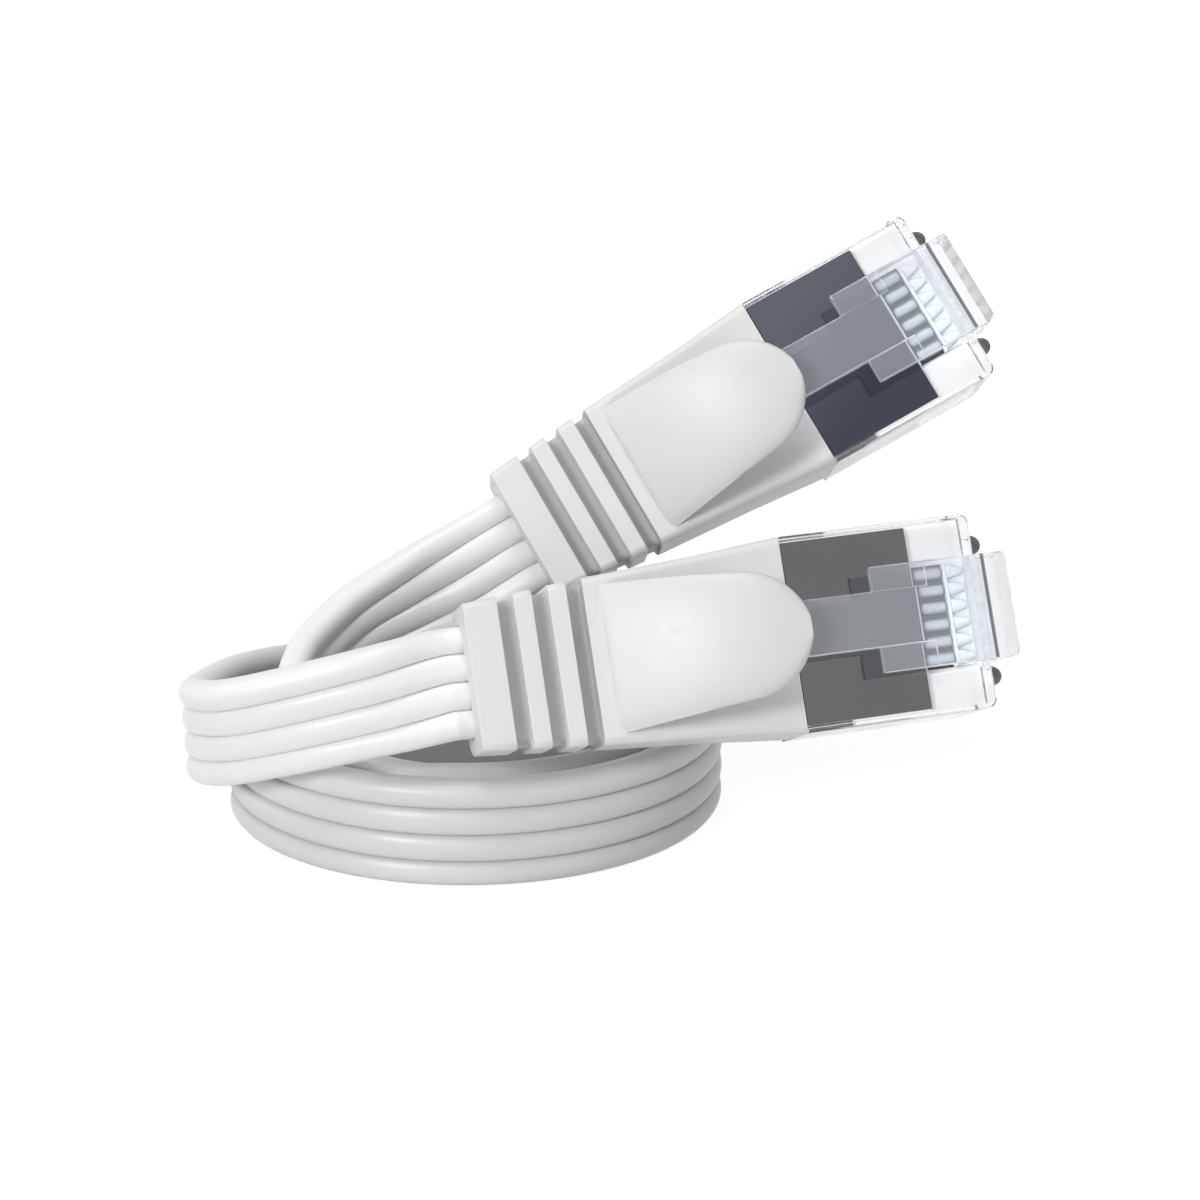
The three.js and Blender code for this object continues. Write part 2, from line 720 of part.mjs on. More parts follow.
function plugGroup(end, place) {
  const plug = new THREE.Group();
  plug.position.set(...place.nose);
  plug.rotation.copy(plugTurn(place));
  addTo(plug, `housing_${end}`, housing(), clearPlastic);
  addTo(plug, `shield_${end}`, shield(), shieldMetal);
  addSprung(plug, `latch_${end}`, latchPivot, latch(), clearPlastic);
  addTo(plug, `load_bar_${end}`, loadBar(), frostedPlastic);
  contactPlaces().forEach((spot, number) => {
    addTo(plug, `contact_${end}_${number + 1}`, contact(spot), goldPlate);
    addTo(plug, `conductor_${end}_${number + 1}`, conductor(spot), wireSleeve);
  });
  addTo(plug, `ferrule_${end}`, ferrule(), ferruleMetal);
  addTo(plug, `boot_${end}`, boot(), bootVinyl);
  addSprung(plug, `tongue_${end}`, tonguePivot, tongue(), bootVinyl);
  return plug;
}

for (const [end, place] of Object.entries(plugPlaces)) group.add(plugGroup(end, place));
addTo(group, "cable_lead_a", cordLead(stationsToPlugA), cordVinyl);
addTo(group, "cable_coil", cordCoil(), cordVinyl);
addTo(group, "cable_lead_b", cordLead(stationsToPlugB), cordVinyl);

const { least, total } = leastGapToItself();
console.log(`cord length ${total.toFixed(1)} mm, least gap to itself ${least.toFixed(2)} mm`);

// The origin goes under the middle of the whole part.
group.updateMatrixWorld(true);
const extent = new THREE.Box3().setFromObject(group, true);
const middle = extent.getCenter(new THREE.Vector3());
group.position.set(-middle.x, -middle.y, -extent.min.z);
export default group;
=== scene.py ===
"""Looks of a short flat ethernet patch cable, coiled on its edge.

Laid out as an add-on and run as a script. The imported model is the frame: every
piece is made in a plug's own frame or along the cord's route, in metres, and
its place is then put into its mesh.

A plug's own frame: +X towards the nose, +Y across the plug, +Z out of the side
that carries the latch. X = 0 is the nose and Z = 0 is the latch side's face.
"""

import json
import math

import bmesh
import bpy
from bpy.props import FloatProperty, FloatVectorProperty, IntProperty, PointerProperty
from mathutils import Matrix, Vector


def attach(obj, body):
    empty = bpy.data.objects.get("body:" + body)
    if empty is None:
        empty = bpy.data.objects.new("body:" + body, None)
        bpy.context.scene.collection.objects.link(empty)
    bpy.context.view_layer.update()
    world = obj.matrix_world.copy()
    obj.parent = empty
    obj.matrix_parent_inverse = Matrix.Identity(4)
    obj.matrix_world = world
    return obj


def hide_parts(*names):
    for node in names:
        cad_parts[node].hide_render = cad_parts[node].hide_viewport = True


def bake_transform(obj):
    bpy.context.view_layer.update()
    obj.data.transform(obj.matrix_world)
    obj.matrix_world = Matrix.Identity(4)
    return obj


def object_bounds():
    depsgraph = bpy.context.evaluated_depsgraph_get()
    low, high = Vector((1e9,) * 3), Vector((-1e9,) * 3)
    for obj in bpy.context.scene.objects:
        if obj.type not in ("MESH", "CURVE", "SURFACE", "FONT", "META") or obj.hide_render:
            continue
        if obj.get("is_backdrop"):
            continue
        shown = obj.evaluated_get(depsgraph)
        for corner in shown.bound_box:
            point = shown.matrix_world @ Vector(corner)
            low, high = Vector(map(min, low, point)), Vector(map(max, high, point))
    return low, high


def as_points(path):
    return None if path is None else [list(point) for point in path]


bl_info = {
    "name": "Flat patch cable",
    "version": (1, 0, 0),
    "blender": (4, 5, 0),
    "location": "View3D > Sidebar > Cable",
    "description": "Makes the cord, boots, plugs and stage of a coiled flat patch cable",
    "category": "Add Mesh",
}

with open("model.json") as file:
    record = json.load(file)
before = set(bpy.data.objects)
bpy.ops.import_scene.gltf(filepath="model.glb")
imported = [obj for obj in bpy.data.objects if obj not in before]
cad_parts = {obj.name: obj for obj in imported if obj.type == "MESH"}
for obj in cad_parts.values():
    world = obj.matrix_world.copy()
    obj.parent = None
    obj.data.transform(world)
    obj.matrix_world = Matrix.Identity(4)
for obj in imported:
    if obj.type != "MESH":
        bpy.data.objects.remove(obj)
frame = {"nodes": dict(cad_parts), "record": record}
cad_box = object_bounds()

MM = 0.001
ENDS = ("a", "b")
ROOT_BODY = "cable"
UP = Vector((0, 0, 1))
WHITE = (1, 1, 1, 1)
SAME = 1e-6  # places this close to each other count as one


# ---- sizes and colours that a user would change ------------------------------
def length(name, description, millimetres):
    return FloatProperty(
        name=name, description=description, default=millimetres * MM, unit="LENGTH", precision=5
    )


def colour(name, description, red, green, blue):
    return FloatVectorProperty(
        name=name,
        description=description,
        default=(red, green, blue),
        min=0.0,
        max=1.0,
        size=3,
        subtype="COLOR",
    )


class PlugSizes(bpy.types.PropertyGroup):
    width: length("Plug width", "Across the plug", 11.68)
    depth: length("Plug depth", "Between the plug's broad faces", 6.6)
    body_length: length("Body length", "From the nose to the step at the neck", 11.68)
    plug_length: length("Plug length", "From the nose to the neck's end", 21.46)
    neck_width: length("Neck width", "Across the neck inside the boot", 7.5)
    neck_depth: length("Neck depth", "Through the neck inside the boot", 2.6)
    corner_round: length("Corner round", "Radius of the nose's two corners", 0.55)
    edge_round: length("Edge round", "Radius of the housing's long edges", 0.22)
    rim_width: length("Rim width", "Rim beside the sunk shield seat", 0.3)
    seat_depth: length("Seat depth", "Depth of the sunk shield seat", 0.37)
    seat_front: length("Seat front", "From the nose to the seat's front", 0.65)
    bay_half_width: length("Bay half width", "Half the width of the bay under the latch", 3.35)
    bay_front: length("Bay front", "From the nose to the bay's front", 0.55)
    bay_back: length("Bay back", "From the nose to the bay's back", 4.0)
    bay_depth: length("Bay depth", "Depth of the bay under the latch", 1.25)
    comb_teeth: IntProperty(name="Comb teeth", description="Teeth seen in the bay", default=6, min=1)
    comb_back: length("Comb back", "From the nose to the comb's back", 3.95)
    comb_split: length("Comb split", "From the nose to the line between the two rows", 1.9)
    comb_front: length("Comb front", "From the nose to the comb's front", 0.65)
    comb_height: length("Comb height", "Height of the comb's walls above the bay's floor", 0.5)
    comb_width: length("Comb width", "Across the comb", 6.15)
    contact_pitch: length("Contact pitch", "Between neighbouring contacts", 1.02)
    contact_count: IntProperty(name="Contacts", description="Contacts in a plug", default=8, min=1)
    wire_row_depth: length("Wire row depth", "From the latch side to the wires' middle", 3.2)
    ledge_radius: length("Ledge radius", "Radius of the half-round ledges on the nose", 0.6)
    ledge_offset: length("Ledge offset", "From the plug's middle to a ledge", 3.95)
    ledge_length: length("Ledge length", "Length of a half-round ledge", 2.6)
    ledge_flatness: FloatProperty(
        name="Ledge flatness", description="How far a ledge stands out for its radius", default=1.15
    )


class LatchSizes(bpy.types.PropertyGroup):
    width: length("Latch width", "Across the latch's wide part", 6.2)
    tail_width: length("Tail width", "Across the latch's narrow tail", 3.25)
    reach: length("Reach", "How far the root stands out past the nose", 1.1)
    hook: length("Hook", "How far the root reaches down the nose", 1.4)
    root_height: length("Root height", "Height of the latch at its root", 2.2)
    shoulder: length("Shoulder", "From the nose to the square shoulders", 7.26)
    shoulder_height: length("Shoulder height", "Height of the latch at its shoulders", 2.77)
    tail_end: length("Tail end", "From the nose to the tail's end", 13.4)
    tail_height: length("Tail height", "Height of the tail's end", 2.95)
    thickness: length("Thickness", "Thickness of the wide part", 0.9)
    tail_thickness: length("Tail thickness", "Thickness of the tail", 0.75)
    wing_drop: length("Wing drop", "How far the wings lie below the spine", 0.3)
    root_fillet: length("Root fillet", "Rounding under the arm at its root", 0.28)
    corner_round: length("Corner round", "Radius of the root's two corners", 0.3)


class BootSizes(bpy.types.PropertyGroup):
    front: length("Front", "From the nose to the boot's front", 11.8)
    waist: length("Waist", "From the nose to the place where the taper eases", 17.1)
    body_end: length("Body end", "From the nose to the first groove", 23.75)
    rear: length("Rear", "From the nose to the boot's rear face", 30.8)
    front_width: length("Front width", "Across the boot's front", 11.68)
    waist_width: length("Waist width", "Across the boot where the taper eases", 10.7)
    body_end_width: length("Body end width", "Across the boot at the first groove", 9.8)
    rear_width: length("Rear width", "Across the rear flange", 8.6)
    front_lift: length("Front lift", "How far the boot's front stands above the plug", 0.35)
    front_depth: length("Front depth", "How far the boot's front reaches below the latch side", 7.0)
    rear_depth: length("Rear depth", "How far the boot's rear reaches below the latch side", 5.6)
    groove_count: IntProperty(name="Grooves", description="Grooves round the boot", default=3, min=1)
    groove_length: length("Groove length", "Length of a groove along the boot", 0.95)
    rib_length: length("Rib length", "Length of the rib between two grooves", 1.1)
    groove_depth: length("Groove depth", "Depth of a groove in the broad faces", 1.05)
    groove_side_depth: length("Groove side depth", "Depth of a groove in the boot's sides", 0.28)
    top_bevel: length("Top bevel", "Rounding of the edges beside the tongue", 0.6)
    back_bevel: length("Back bevel", "Rounding of the edges away from the tongue", 2.2)
    tongue_root: length("Tongue root", "From the nose to the tongue's root", 22.8)
    tongue_length: length("Tongue length", "Length of the tongue", 11.15)
    tongue_root_width: length("Tongue root width", "Across the tongue's root", 8.8)
    tongue_tip_width: length("Tongue tip width", "Across the tongue before its round end", 7.4)
    tongue_root_height: length("Tongue root height", "Height of the tongue's root", 0.5)
    tongue_tip_height: length("Tongue tip height", "Height of the tongue's tip", 4.4)
    tongue_root_thickness: length("Tongue root thickness", "Thickness at the root", 0.75)
    tongue_tip_thickness: length("Tongue tip thickness", "Thickness at the tip", 1.1)
    tongue_crown: length("Tongue crown", "How much the tongue's face is arched across", 0.32)


class CordSizes(bpy.types.PropertyGroup):
    width: length("Cord width", "Across all the lobes", 6.6)
    thickness: length("Cord thickness", "Thickness of a lobe", 2.0)
    web: length("Web thickness", "Thickness between two lobes", 0.95)
    lobe_count: IntProperty(name="Lobes", description="Round lobes side by side", default=4, min=1)
    coil_radius: length("Coil radius", "Radius of the coil's outer turn at the cord's middle", 14.73)
    turn_step: length("Turn step", "How far the inner turn lies inside the outer one", 2.55)
    foot_flat: length("Foot flat", "How much the lower edge is pressed flat", 0.19)
    whole_length: length("Whole length", "Length from inside one boot to inside the other", 218.5)


class Finishes(bpy.types.PropertyGroup):
    cord: colour("Cord", "Colour of the cord's jacket", 0.89, 0.89, 0.895)
    boot: colour("Boot", "Colour of the moulded boots", 0.79, 0.79, 0.795)
    # Painted shade: the grooves are of the boot's own vinyl; this darker colour stands in for the
    # shade that falls in them.
    groove: colour("Boot grooves", "Colour in the boots' grooves", 0.55, 0.55, 0.555)
    # Painted shade: the tongues are of the boots' own vinyl; this darker colour stands in for how the
    # light falls on them.
    tongue: colour("Tongues", "Colour of the boots' tongues", 0.735, 0.735, 0.74)
    clear: colour("Clear plastic", "Tint of the clear plastic", 0.94, 0.95, 0.96)
    # Painted shade: the clear plastic has no dark seam; this dark tint stands in for the shade and
    # dark refraction at the latch's root, on the ledges' caps and at the nose's corners.
    seam: colour("Seam", "Tint of the dark seam where the latch springs", 0.05, 0.05, 0.055)
    latch: colour("Latch plastic", "Tint of the latch's clear plastic", 0.85, 0.875, 0.925)
    hook: colour("Latch root", "Tint of the latch's clear root past the nose", 0.85, 0.855, 0.87)
    window: colour("Windows", "Tint of the frosted windows beside the latch", 0.85, 0.86, 0.87)
    milky: colour("Milky plastic", "Colour of the load bar and the front teeth", 0.76, 0.79, 0.81)
    # Painted shade: this near-black base between the rear teeth stands in for the shade between the
    # wires' channels.
    comb_base_shade: colour("Comb base", "Colour between the comb's rear teeth", 0.05, 0.065, 0.085)
    # Painted shade at the feet of the front teeth.
    comb_shade: colour("Comb shade", "Colour between the comb's front teeth", 0.36, 0.38, 0.4)
    comb_teeth: colour("Comb teeth", "Colour of the comb's rear teeth", 0.47, 0.52, 0.56)
    shield: colour("Shield", "Colour of the plated shield", 0.15, 0.151, 0.155)
    # Painted reflection: the far shield's plating is even; these two colours give it a gradient,
    # darker towards its lower side.
    shield_shade_dark: colour("Dark shield", "Colour where the far shield is darkest", 0.06, 0.065, 0.086)
    shield_shade_light: colour("Light shield", "Colour where the far shield is lightest", 0.122, 0.13, 0.154)
    # Painted shade: the shields' edges are no darker than their plating; this near-black stands in for
    # the dark line of shade and reflection along them.
    edge: colour("Shield edge", "Colour of the shields' cut edges", 0.01, 0.01, 0.011)
    gold: colour("Gold plate", "Colour of the contacts", 0.83, 0.62, 0.26)
    wire: colour("Wire sleeve", "Colour of the wires' insulation", 0.70, 0.74, 0.77)
    ferrule: colour("Ferrule", "Colour of the crimped ferrule", 0.62, 0.62, 0.63)
    floor: colour("Floor", "Colour of the pale floor", 0.75, 0.75, 0.75)


# ---- the cord's route, as in the part's source: millimetres and degrees ------
PLUG_PLACES = {
    "a": {"nose": (30.66, -9.6, 15.22), "yaw": 12.91, "pitch": 3.63, "roll": 23.97},
    "b": {"nose": (29.88, 5.15, 31.61), "yaw": 15.81, "pitch": 26.23, "roll": 27.75},
}
ROUTE_TO_PLUG_A = (
    ((-12.3, 9.25, 3.8), (0, 0, 1)),
    ((-15.45, 4.45, 4.6), (0, 0, 1)),
    ((-16.95, -1.55, 5.4), (0, 0.03, 1)),
    ((-16.15, -7.65, 6.85), (-0.08, -0.11, 1)),
    ((-12.65, -13.1, 8.93), (-0.27, -0.15, 1)),
    ((-5.35, -14.76, 11.11), (-0.1, 0, 1)),
)
ROUTE_TO_PLUG_B = (
    ((-6.05, -10.55, 3.45), (-0.03, -0.08, 1)),
    ((-9.0, -7.45, 5.05), (-0.19, -0.25, 0.95)),
    ((-10.1, -4.4, 7.2), (-0.29, -0.5, 0.74)),
    ((-9.3, -2.4, 9.4), (-0.4, -0.6, 0.66)),
    ((-7.15, -1.2, 11.4), (-0.38, -0.52, 0.7)),
    ((-3.5, -0.65, 13.3), (-0.59, -0.27, 0.77)),
    ((-0.65, -0.35, 14.65), (-0.44, 0.13, 0.82)),
)
COIL_START = math.radians(114)
COIL_END = math.radians(-452)
STEP_IN_START = math.radians(-163)
STEP_IN_END = math.radians(-225)
COIL_STEP = math.radians(3)
LEAD_STEPS_PER_POINT = 12
SOFT_GAP = 0.3 * MM
CORD_IN_BOOT = 2.5 * MM


def coil_shift():
    """From the coil's own frame to the row frame, by the coil's resting face."""
    rest = next(m for m in frame["record"]["mounts"] if m["name"] == "floor_rest")
    return Vector(rest["pos_m"]) + Vector((0, bpy.context.scene.cable_cord.coil_radius, 0))


def plug_turn(end):
    place = PLUG_PLACES[end]
    yaw = Matrix.Rotation(math.radians(place["yaw"]), 4, "Z")
    pitch = Matrix.Rotation(-math.radians(place["pitch"]), 4, "Y")
    roll = Matrix.Rotation(math.radians(90 - place["roll"]), 4, "X")
    return yaw @ pitch @ roll


def plug_frame(end):
    """From the plug's own frame to the row frame."""
    nose = Vector(PLUG_PLACES[end]["nose"]) * MM + coil_shift()
    return Matrix.Translation(nose) @ plug_turn(end)


# ---- small modelling helpers -------------------------------------------------
ROD_SIDES = 24


def deselect_all():
    if bpy.context.object and bpy.context.object.mode != "OBJECT":
        bpy.ops.object.mode_set(mode="OBJECT")
    bpy.ops.object.select_all(action="DESELECT")


def choose(piece):
    deselect_all()
    piece.select_set(True)
    bpy.context.view_layer.objects.active = piece


def name_new(name):
    """Names the object that was just added and puts its place into its mesh."""
    piece = bpy.context.object
    piece.name = name
    bpy.ops.object.transform_apply(location=True, rotation=True, scale=True)
    return piece


def add_block(name, x_span, width, z_span, y=0.0):
    """A box along X, centred across at y, as the start of a piece."""
    deselect_all()
    size = (x_span[1] - x_span[0], width, z_span[1] - z_span[0])
    middle = (sum(x_span) / 2, y, sum(z_span) / 2)
    bpy.ops.mesh.primitive_cube_add(size=1, location=middle, scale=size)
    return name_new(name)


def add_rod(name, radius, start, end):
    """A round bar between two points, which lie along one axis."""
    deselect_all()
    along = Vector(end) - Vector(start)
    bpy.ops.mesh.primitive_cylinder_add(
        radius=radius,
        depth=along.length,
        vertices=ROD_SIDES,
        location=(Vector(start) + Vector(end)) / 2,
        rotation=along.to_track_quat("Z", "Y").to_euler(),
    )
    return name_new(name)


def enter_edit(piece, action="SELECT"):
    """Edit mode, with all of the piece selected, or nothing of it."""
    choose(piece)
    bpy.ops.object.mode_set(mode="EDIT")
    bpy.ops.mesh.select_all(action=action)


def pick_faces(piece, test):
    """Edit mode, with only the faces selected whose centre and normal pass."""
    enter_edit(piece, "DESELECT")
    bpy.ops.mesh.select_mode(type="FACE")
    for face in bmesh.from_edit_mesh(piece.data).faces:
        face.select_set(test(face.calc_center_median(), face.normal))
    bmesh.update_edit_mesh(piece.data)


def pick_edges(piece, test):
    """Edit mode, with only the edges selected whose two ends pass."""
    enter_edit(piece, "DESELECT")
    bpy.ops.mesh.select_mode(type="EDGE")
    for edge in bmesh.from_edit_mesh(piece.data).edges:
        edge.select_set(test(edge.verts[0].co, edge.verts[1].co))
    bmesh.update_edit_mesh(piece.data)


def runs_along_x(a, b):
    """Whether the edge between two corners runs along the plug."""
    return abs(a.y - b.y) < SAME and abs(a.z - b.z) < SAME


def leave_edit():
    bpy.ops.object.mode_set(mode="OBJECT")


def bevel_picked(width, segments):
    bpy.ops.mesh.bevel(offset=width, offset_type="OFFSET", segments=segments, profile=0.5)
    leave_edit()


def apply_modifier(piece, kind, **settings):
    """Adds a modifier with its settings and applies it at once."""
    modifier = piece.modifiers.new(kind.lower(), kind)
    for setting, value in settings.items():
        setattr(modifier, setting, value)
    choose(piece)
    bpy.ops.object.modifier_apply(modifier=modifier.name)


def combine(piece, other, operation):
    """Applies a boolean with the other solid, which is then deleted."""
    apply_modifier(piece, "BOOLEAN", operation=operation, solver="EXACT", object=other)
    bpy.data.objects.remove(other)


def cut_away(piece, cutter):
    combine(piece, cutter, "DIFFERENCE")


def join_on(piece, other):
    combine(piece, other, "UNION")


def repeat_across(piece, count, pitch):
    """Copies of the piece side by side, from the piece towards +Y."""
    apply_modifier(
        piece,
        "ARRAY",
        count=count,
        use_relative_offset=False,
        use_constant_offset=True,
        constant_offset_displace=(0, pitch, 0),
    )


def round_edges(piece, width, segments=2, angle=32):
    """Rounds the edges that turn by more than the angle."""
    apply_modifier(
        piece,
        "BEVEL",
        width=width,
        segments=segments,
        limit_method="ANGLE",
        angle_limit=math.radians(angle),
        use_clamp_overlap=True,
    )


def smooth(piece, angle=38):
    """Shades smooth the edges that turn by less than the angle."""
    choose(piece)
    bpy.ops.object.shade_smooth_by_angle(angle=math.radians(angle))
    apply_modifier(piece, "WEIGHTED_NORMAL", keep_sharp=True)


def merge_facets(piece, threshold):
    """Merges the piece's seams, and the facets of each flat face."""
    enter_edit(piece)
    bpy.ops.mesh.remove_doubles(threshold=threshold)
    bpy.ops.mesh.dissolve_limited(angle_limit=math.radians(1))
    leave_edit()


def split_at(piece, places, normal):
    """Cuts the piece's faces along planes through the places; its shape stays."""
    enter_edit(piece)
    for place in places:
        bpy.ops.mesh.select_all(action="SELECT")
        bpy.ops.mesh.bisect(plane_co=place, plane_no=normal)
    leave_edit()


def draw_out(section, stations):
    """Takes the picked face from its section through (x, width, low, high) stations."""
    x, width, low, high = section
    for number, (next_x, next_width, next_low, next_high) in enumerate(stations):
        if number:
            bpy.ops.mesh.extrude_region_move()
        rise = (next_low + next_high - low - high) / 2
        bpy.ops.transform.translate(value=(next_x - x, 0, rise))
        middle = (next_x, 0, (next_low + next_high) / 2)
        factor = (1, next_width / width, (next_high - next_low) / (high - low))
        bpy.ops.transform.resize(value=factor, center_override=middle)
        x, width, low, high = next_x, next_width, next_low, next_high
    leave_edit()


def loft_back(piece, stations):
    """Draws the piece's rear face out through the stations.

    The first station is the piece's front, where it has its first section.
    """
    rear = min(vertex.co.x for vertex in piece.data.vertices)
    pick_faces(piece, lambda centre, normal: normal.x < -0.9 and centre.x < rear + SAME)
    draw_out((rear, *stations[0][1:]), stations[1:])


def give_finish(piece, number, test):
    """Gives the piece's finish of that number to the faces that pass."""
    for face in piece.data.polygons:
        if test(face.center, face.normal):
            face.material_index = number


def place_on_plugs(piece, looks, slot, replaced=None, rides=True):
    """A copy of the piece on each plug, on the cable's body if it rides there.

    The looks are a list of materials, or a function that gives it for an end.
    A clear piece casts no shadow, so that the lamps' light reaches what is in it.
    """
    made = {}
    for end in ENDS:
        copy = piece.copy()
        copy.data = piece.data.copy()
        copy.name = f"{piece.name}_{end}"
        bpy.context.scene.collection.objects.link(copy)
        copy.data.transform(plug_frame(end))
        for material in looks(end) if callable(looks) else looks:
            copy.data.materials.append(material)
        if rides:
            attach(copy, ROOT_BODY)
        if replaced:
            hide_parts(f"{replaced}_{end}")
        copy.visible_shadow = slot != "clear_plastic"
        made[end] = copy
    bpy.data.objects.remove(piece)
    return made


def bend_between(made, start, finish):
    """Puts each placed piece's place into its mesh."""
    for end, piece in made.items():
        place = plug_frame(end)
        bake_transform(piece)


# ---- materials ---------------------------------------------------------------
NOISE_SPAN = (0.3, 0.7)  # where nearly all of a noise's values lie


def tree_and_shader(material):
    return material.node_tree, material.node_tree.nodes["Principled BSDF"]


def new_material(name):
    material = bpy.data.materials.new(name)
    material.use_nodes = True
    return material, *tree_and_shader(material)


def feed(tree, node, inputs):
    """Sets each input of a node, or links it where the value is an output."""
    for name, value in inputs.items():
        if isinstance(value, bpy.types.NodeSocket):
            tree.links.new(value, node.inputs[name])
        else:
            node.inputs[name].default_value = value


def add_node(tree, kind, inputs, output=0, **settings):
    """Adds a node with its settings and inputs, and returns one of its outputs."""
    node = tree.nodes.new("ShaderNode" + kind)
    for setting, value in settings.items():
        setattr(node, setting, value)
    feed(tree, node, inputs)
    return node.outputs[output]


def object_place(tree):
    """The place on the object, in its own coordinates."""
    return add_node(tree, "TexCoord", {}, "Object")


def remap(tree, value, source, target=(0.0, 1.0), interpolation_type="LINEAR"):
    """Spreads the source range of a value over the target range."""
    ends = {"From Min": source[0], "From Max": source[1], "To Min": target[0], "To Max": target[1]}
    return add_node(tree, "MapRange", {"Value": value, **ends}, "Result",
                    interpolation_type=interpolation_type)


def mix_colours(tree, share, first, second, blend_type="MIX"):
    """The first colour where the share is 0, and the second where it is 1."""
    return add_node(tree, "Mix", {"Factor": share, "A": first, "B": second}, "Result",
                    data_type="RGBA", blend_type=blend_type)


def fade_along(tree, direction, start, end):
    """0 at the start place and 1 at the end place, eased along the direction."""
    reach = add_node(tree, "VectorMath", {0: object_place(tree), 1: direction}, "Value",
                     operation="DOT_PRODUCT")
    return remap(tree, reach, (start.dot(direction), end.dot(direction)),
                 interpolation_type="SMOOTHSTEP")


def base_colour(shader):
    """The output that gives the shader its colour so far."""
    return shader.inputs["Base Color"].links[0].from_socket


def noise(tree, scale, detail):
    """A noise that is fixed to the object."""
    inputs = {"Vector": object_place(tree), "Scale": scale, "Detail": detail}
    return add_node(tree, "TexNoise", inputs, "Fac")


def tint(tree, source, colour_now, share):
    """Varies a colour a little, darker by the share where the noise is low."""
    darker = [channel * (1 - share) for channel in colour_now]
    return mix_colours(tree, source, (*darker, 1), (*colour_now, 1))


def grain(tree, source, strength, distance):
    inputs = {"Height": source, "Strength": strength, "Distance": distance}
    return add_node(tree, "Bump", inputs, "Normal")


def outside_coil(tree, beyond=0.0):
    """0 within the coil's outer turn, where its shade is deep, and 1 outside it."""
    radius = bpy.context.scene.cable_cord.coil_radius + beyond
    soft_edge = 0.8 * MM
    level = add_node(tree, "VectorMath", {0: object_place(tree), 1: (1, 1, 0)}, "Vector",
                     operation="MULTIPLY")
    from_middle = add_node(tree, "VectorMath", {0: level, 1: coil_shift()}, "Value",
                           operation="DISTANCE")
    return remap(tree, from_middle, (radius - soft_edge, radius + soft_edge))


def shade_coil(material, share):
    """Paints shade into the cord: darkens it by that share where it lies in the coil, off its free
    stretches.
    """
    tree, shader = tree_and_shader(material)
    sizes = bpy.context.scene.cable_cord
    height = add_node(tree, "SeparateXYZ", {"Vector": object_place(tree)}, "Z")
    above = remap(tree, height, (sizes.width, 1.3 * sizes.width), interpolation_type="SMOOTHSTEP")
    outside = outside_coil(tree, 0.7 * sizes.thickness)
    free = add_node(tree, "Math", {0: above, 1: outside}, operation="MAXIMUM")
    level = remap(tree, free, (0.0, 1.0), (1 - share, 1.0))
    darker = mix_colours(tree, 1.0, base_colour(shader), level, "MULTIPLY")
    feed(tree, shader, {"Base Color": darker})


def vinyl(name, colour_now, roughness, grain_scale, grain_depth):
    """Soft white vinyl: a little light goes into it, and its skin is satin."""
    material, tree, shader = new_material(name)
    skin = noise(tree, grain_scale, 4)
    feed(tree, shader, {
        "Base Color": tint(tree, noise(tree, 220, 3), colour_now, 0.04),
        "Roughness": remap(tree, skin, NOISE_SPAN, (roughness - 0.05, roughness + 0.05)),
        "Normal": grain(tree, skin, 0.25, grain_depth),
        "Subsurface Weight": 0.05,
        "Subsurface Radius": (1.0, 0.95, 0.9),
        "Subsurface Scale": 0.15 * MM,
        "Specular IOR Level": 0.45,
    })
    return material


def clear_plastic(name, colour_now, roughness, haze, bending=1.5):
    """Clear moulded plastic with a little haze and the faintest flow marks."""
    material, tree, shader = new_material(name)
    flow = noise(tree, 300, 2)
    feed(tree, shader, {
        "Base Color": tint(tree, flow, colour_now, 0.02),
        "Roughness": remap(tree, flow, NOISE_SPAN, (roughness * 0.7, roughness * 1.4)),
        "Normal": grain(tree, flow, 0.1, 0.01 * MM),
        "Transmission Weight": 1 - haze,
        "IOR": bending,
    })
    return material


def milky_plastic(name, colour_now):
    """Moulded plastic that scatters light, such as the load bars and the combs."""
    material, tree, shader = new_material(name)
    cloud = noise(tree, 500, 3)
    feed(tree, shader, {
        "Base Color": tint(tree, cloud, colour_now, 0.08),
        "Roughness": remap(tree, cloud, NOISE_SPAN, (0.28, 0.4)),
        "Subsurface Weight": 0.4,
        "Subsurface Scale": 0.5 * MM,
    })
    return material


def plated_metal(name, colour_now, roughness):
    """Thin plated sheet, a little uneven in its colour and gloss."""
    material, tree, shader = new_material(name)
    cloud = noise(tree, 260, 4)
    feed(tree, shader, {
        "Base Color": tint(tree, cloud, colour_now, 0.1),
        "Roughness": remap(tree, cloud, NOISE_SPAN, (roughness * 0.85, roughness * 1.2)),
        "Normal": grain(tree, cloud, 0.08, 0.004 * MM),
        "Metallic": 1.0,
    })
    return material


# ---- the cord ----------------------------------------------------------------
def coil_radius_at(angle, sizes):
    """Every full turn keeps its radius but for one stretch, where it steps in."""
    radius = sizes.coil_radius
    lap = 0
    while STEP_IN_START - lap * math.tau > COIL_END:
        start = STEP_IN_START - lap * math.tau
        end = STEP_IN_END - lap * math.tau
        share = min(1.0, max(0.0, (start - angle) / (start - end)))
        radius -= sizes.turn_step * share * share * (3 - 2 * share)
        lap += 1
    return radius


def coil_point(angle, sizes):
    radius = coil_radius_at(angle, sizes)
    height = sizes.width / 2 - sizes.foot_flat
    return Vector((radius * math.cos(angle), radius * math.sin(angle), height))


def coil_lead(angle, outwards, beyond, sizes):
    """A place straight on from the coil's end at that angle."""
    step = 1e-3
    tangent = (coil_point(angle - step, sizes) - coil_point(angle + step, sizes)).normalized()
    return coil_point(angle, sizes) + tangent * outwards * beyond


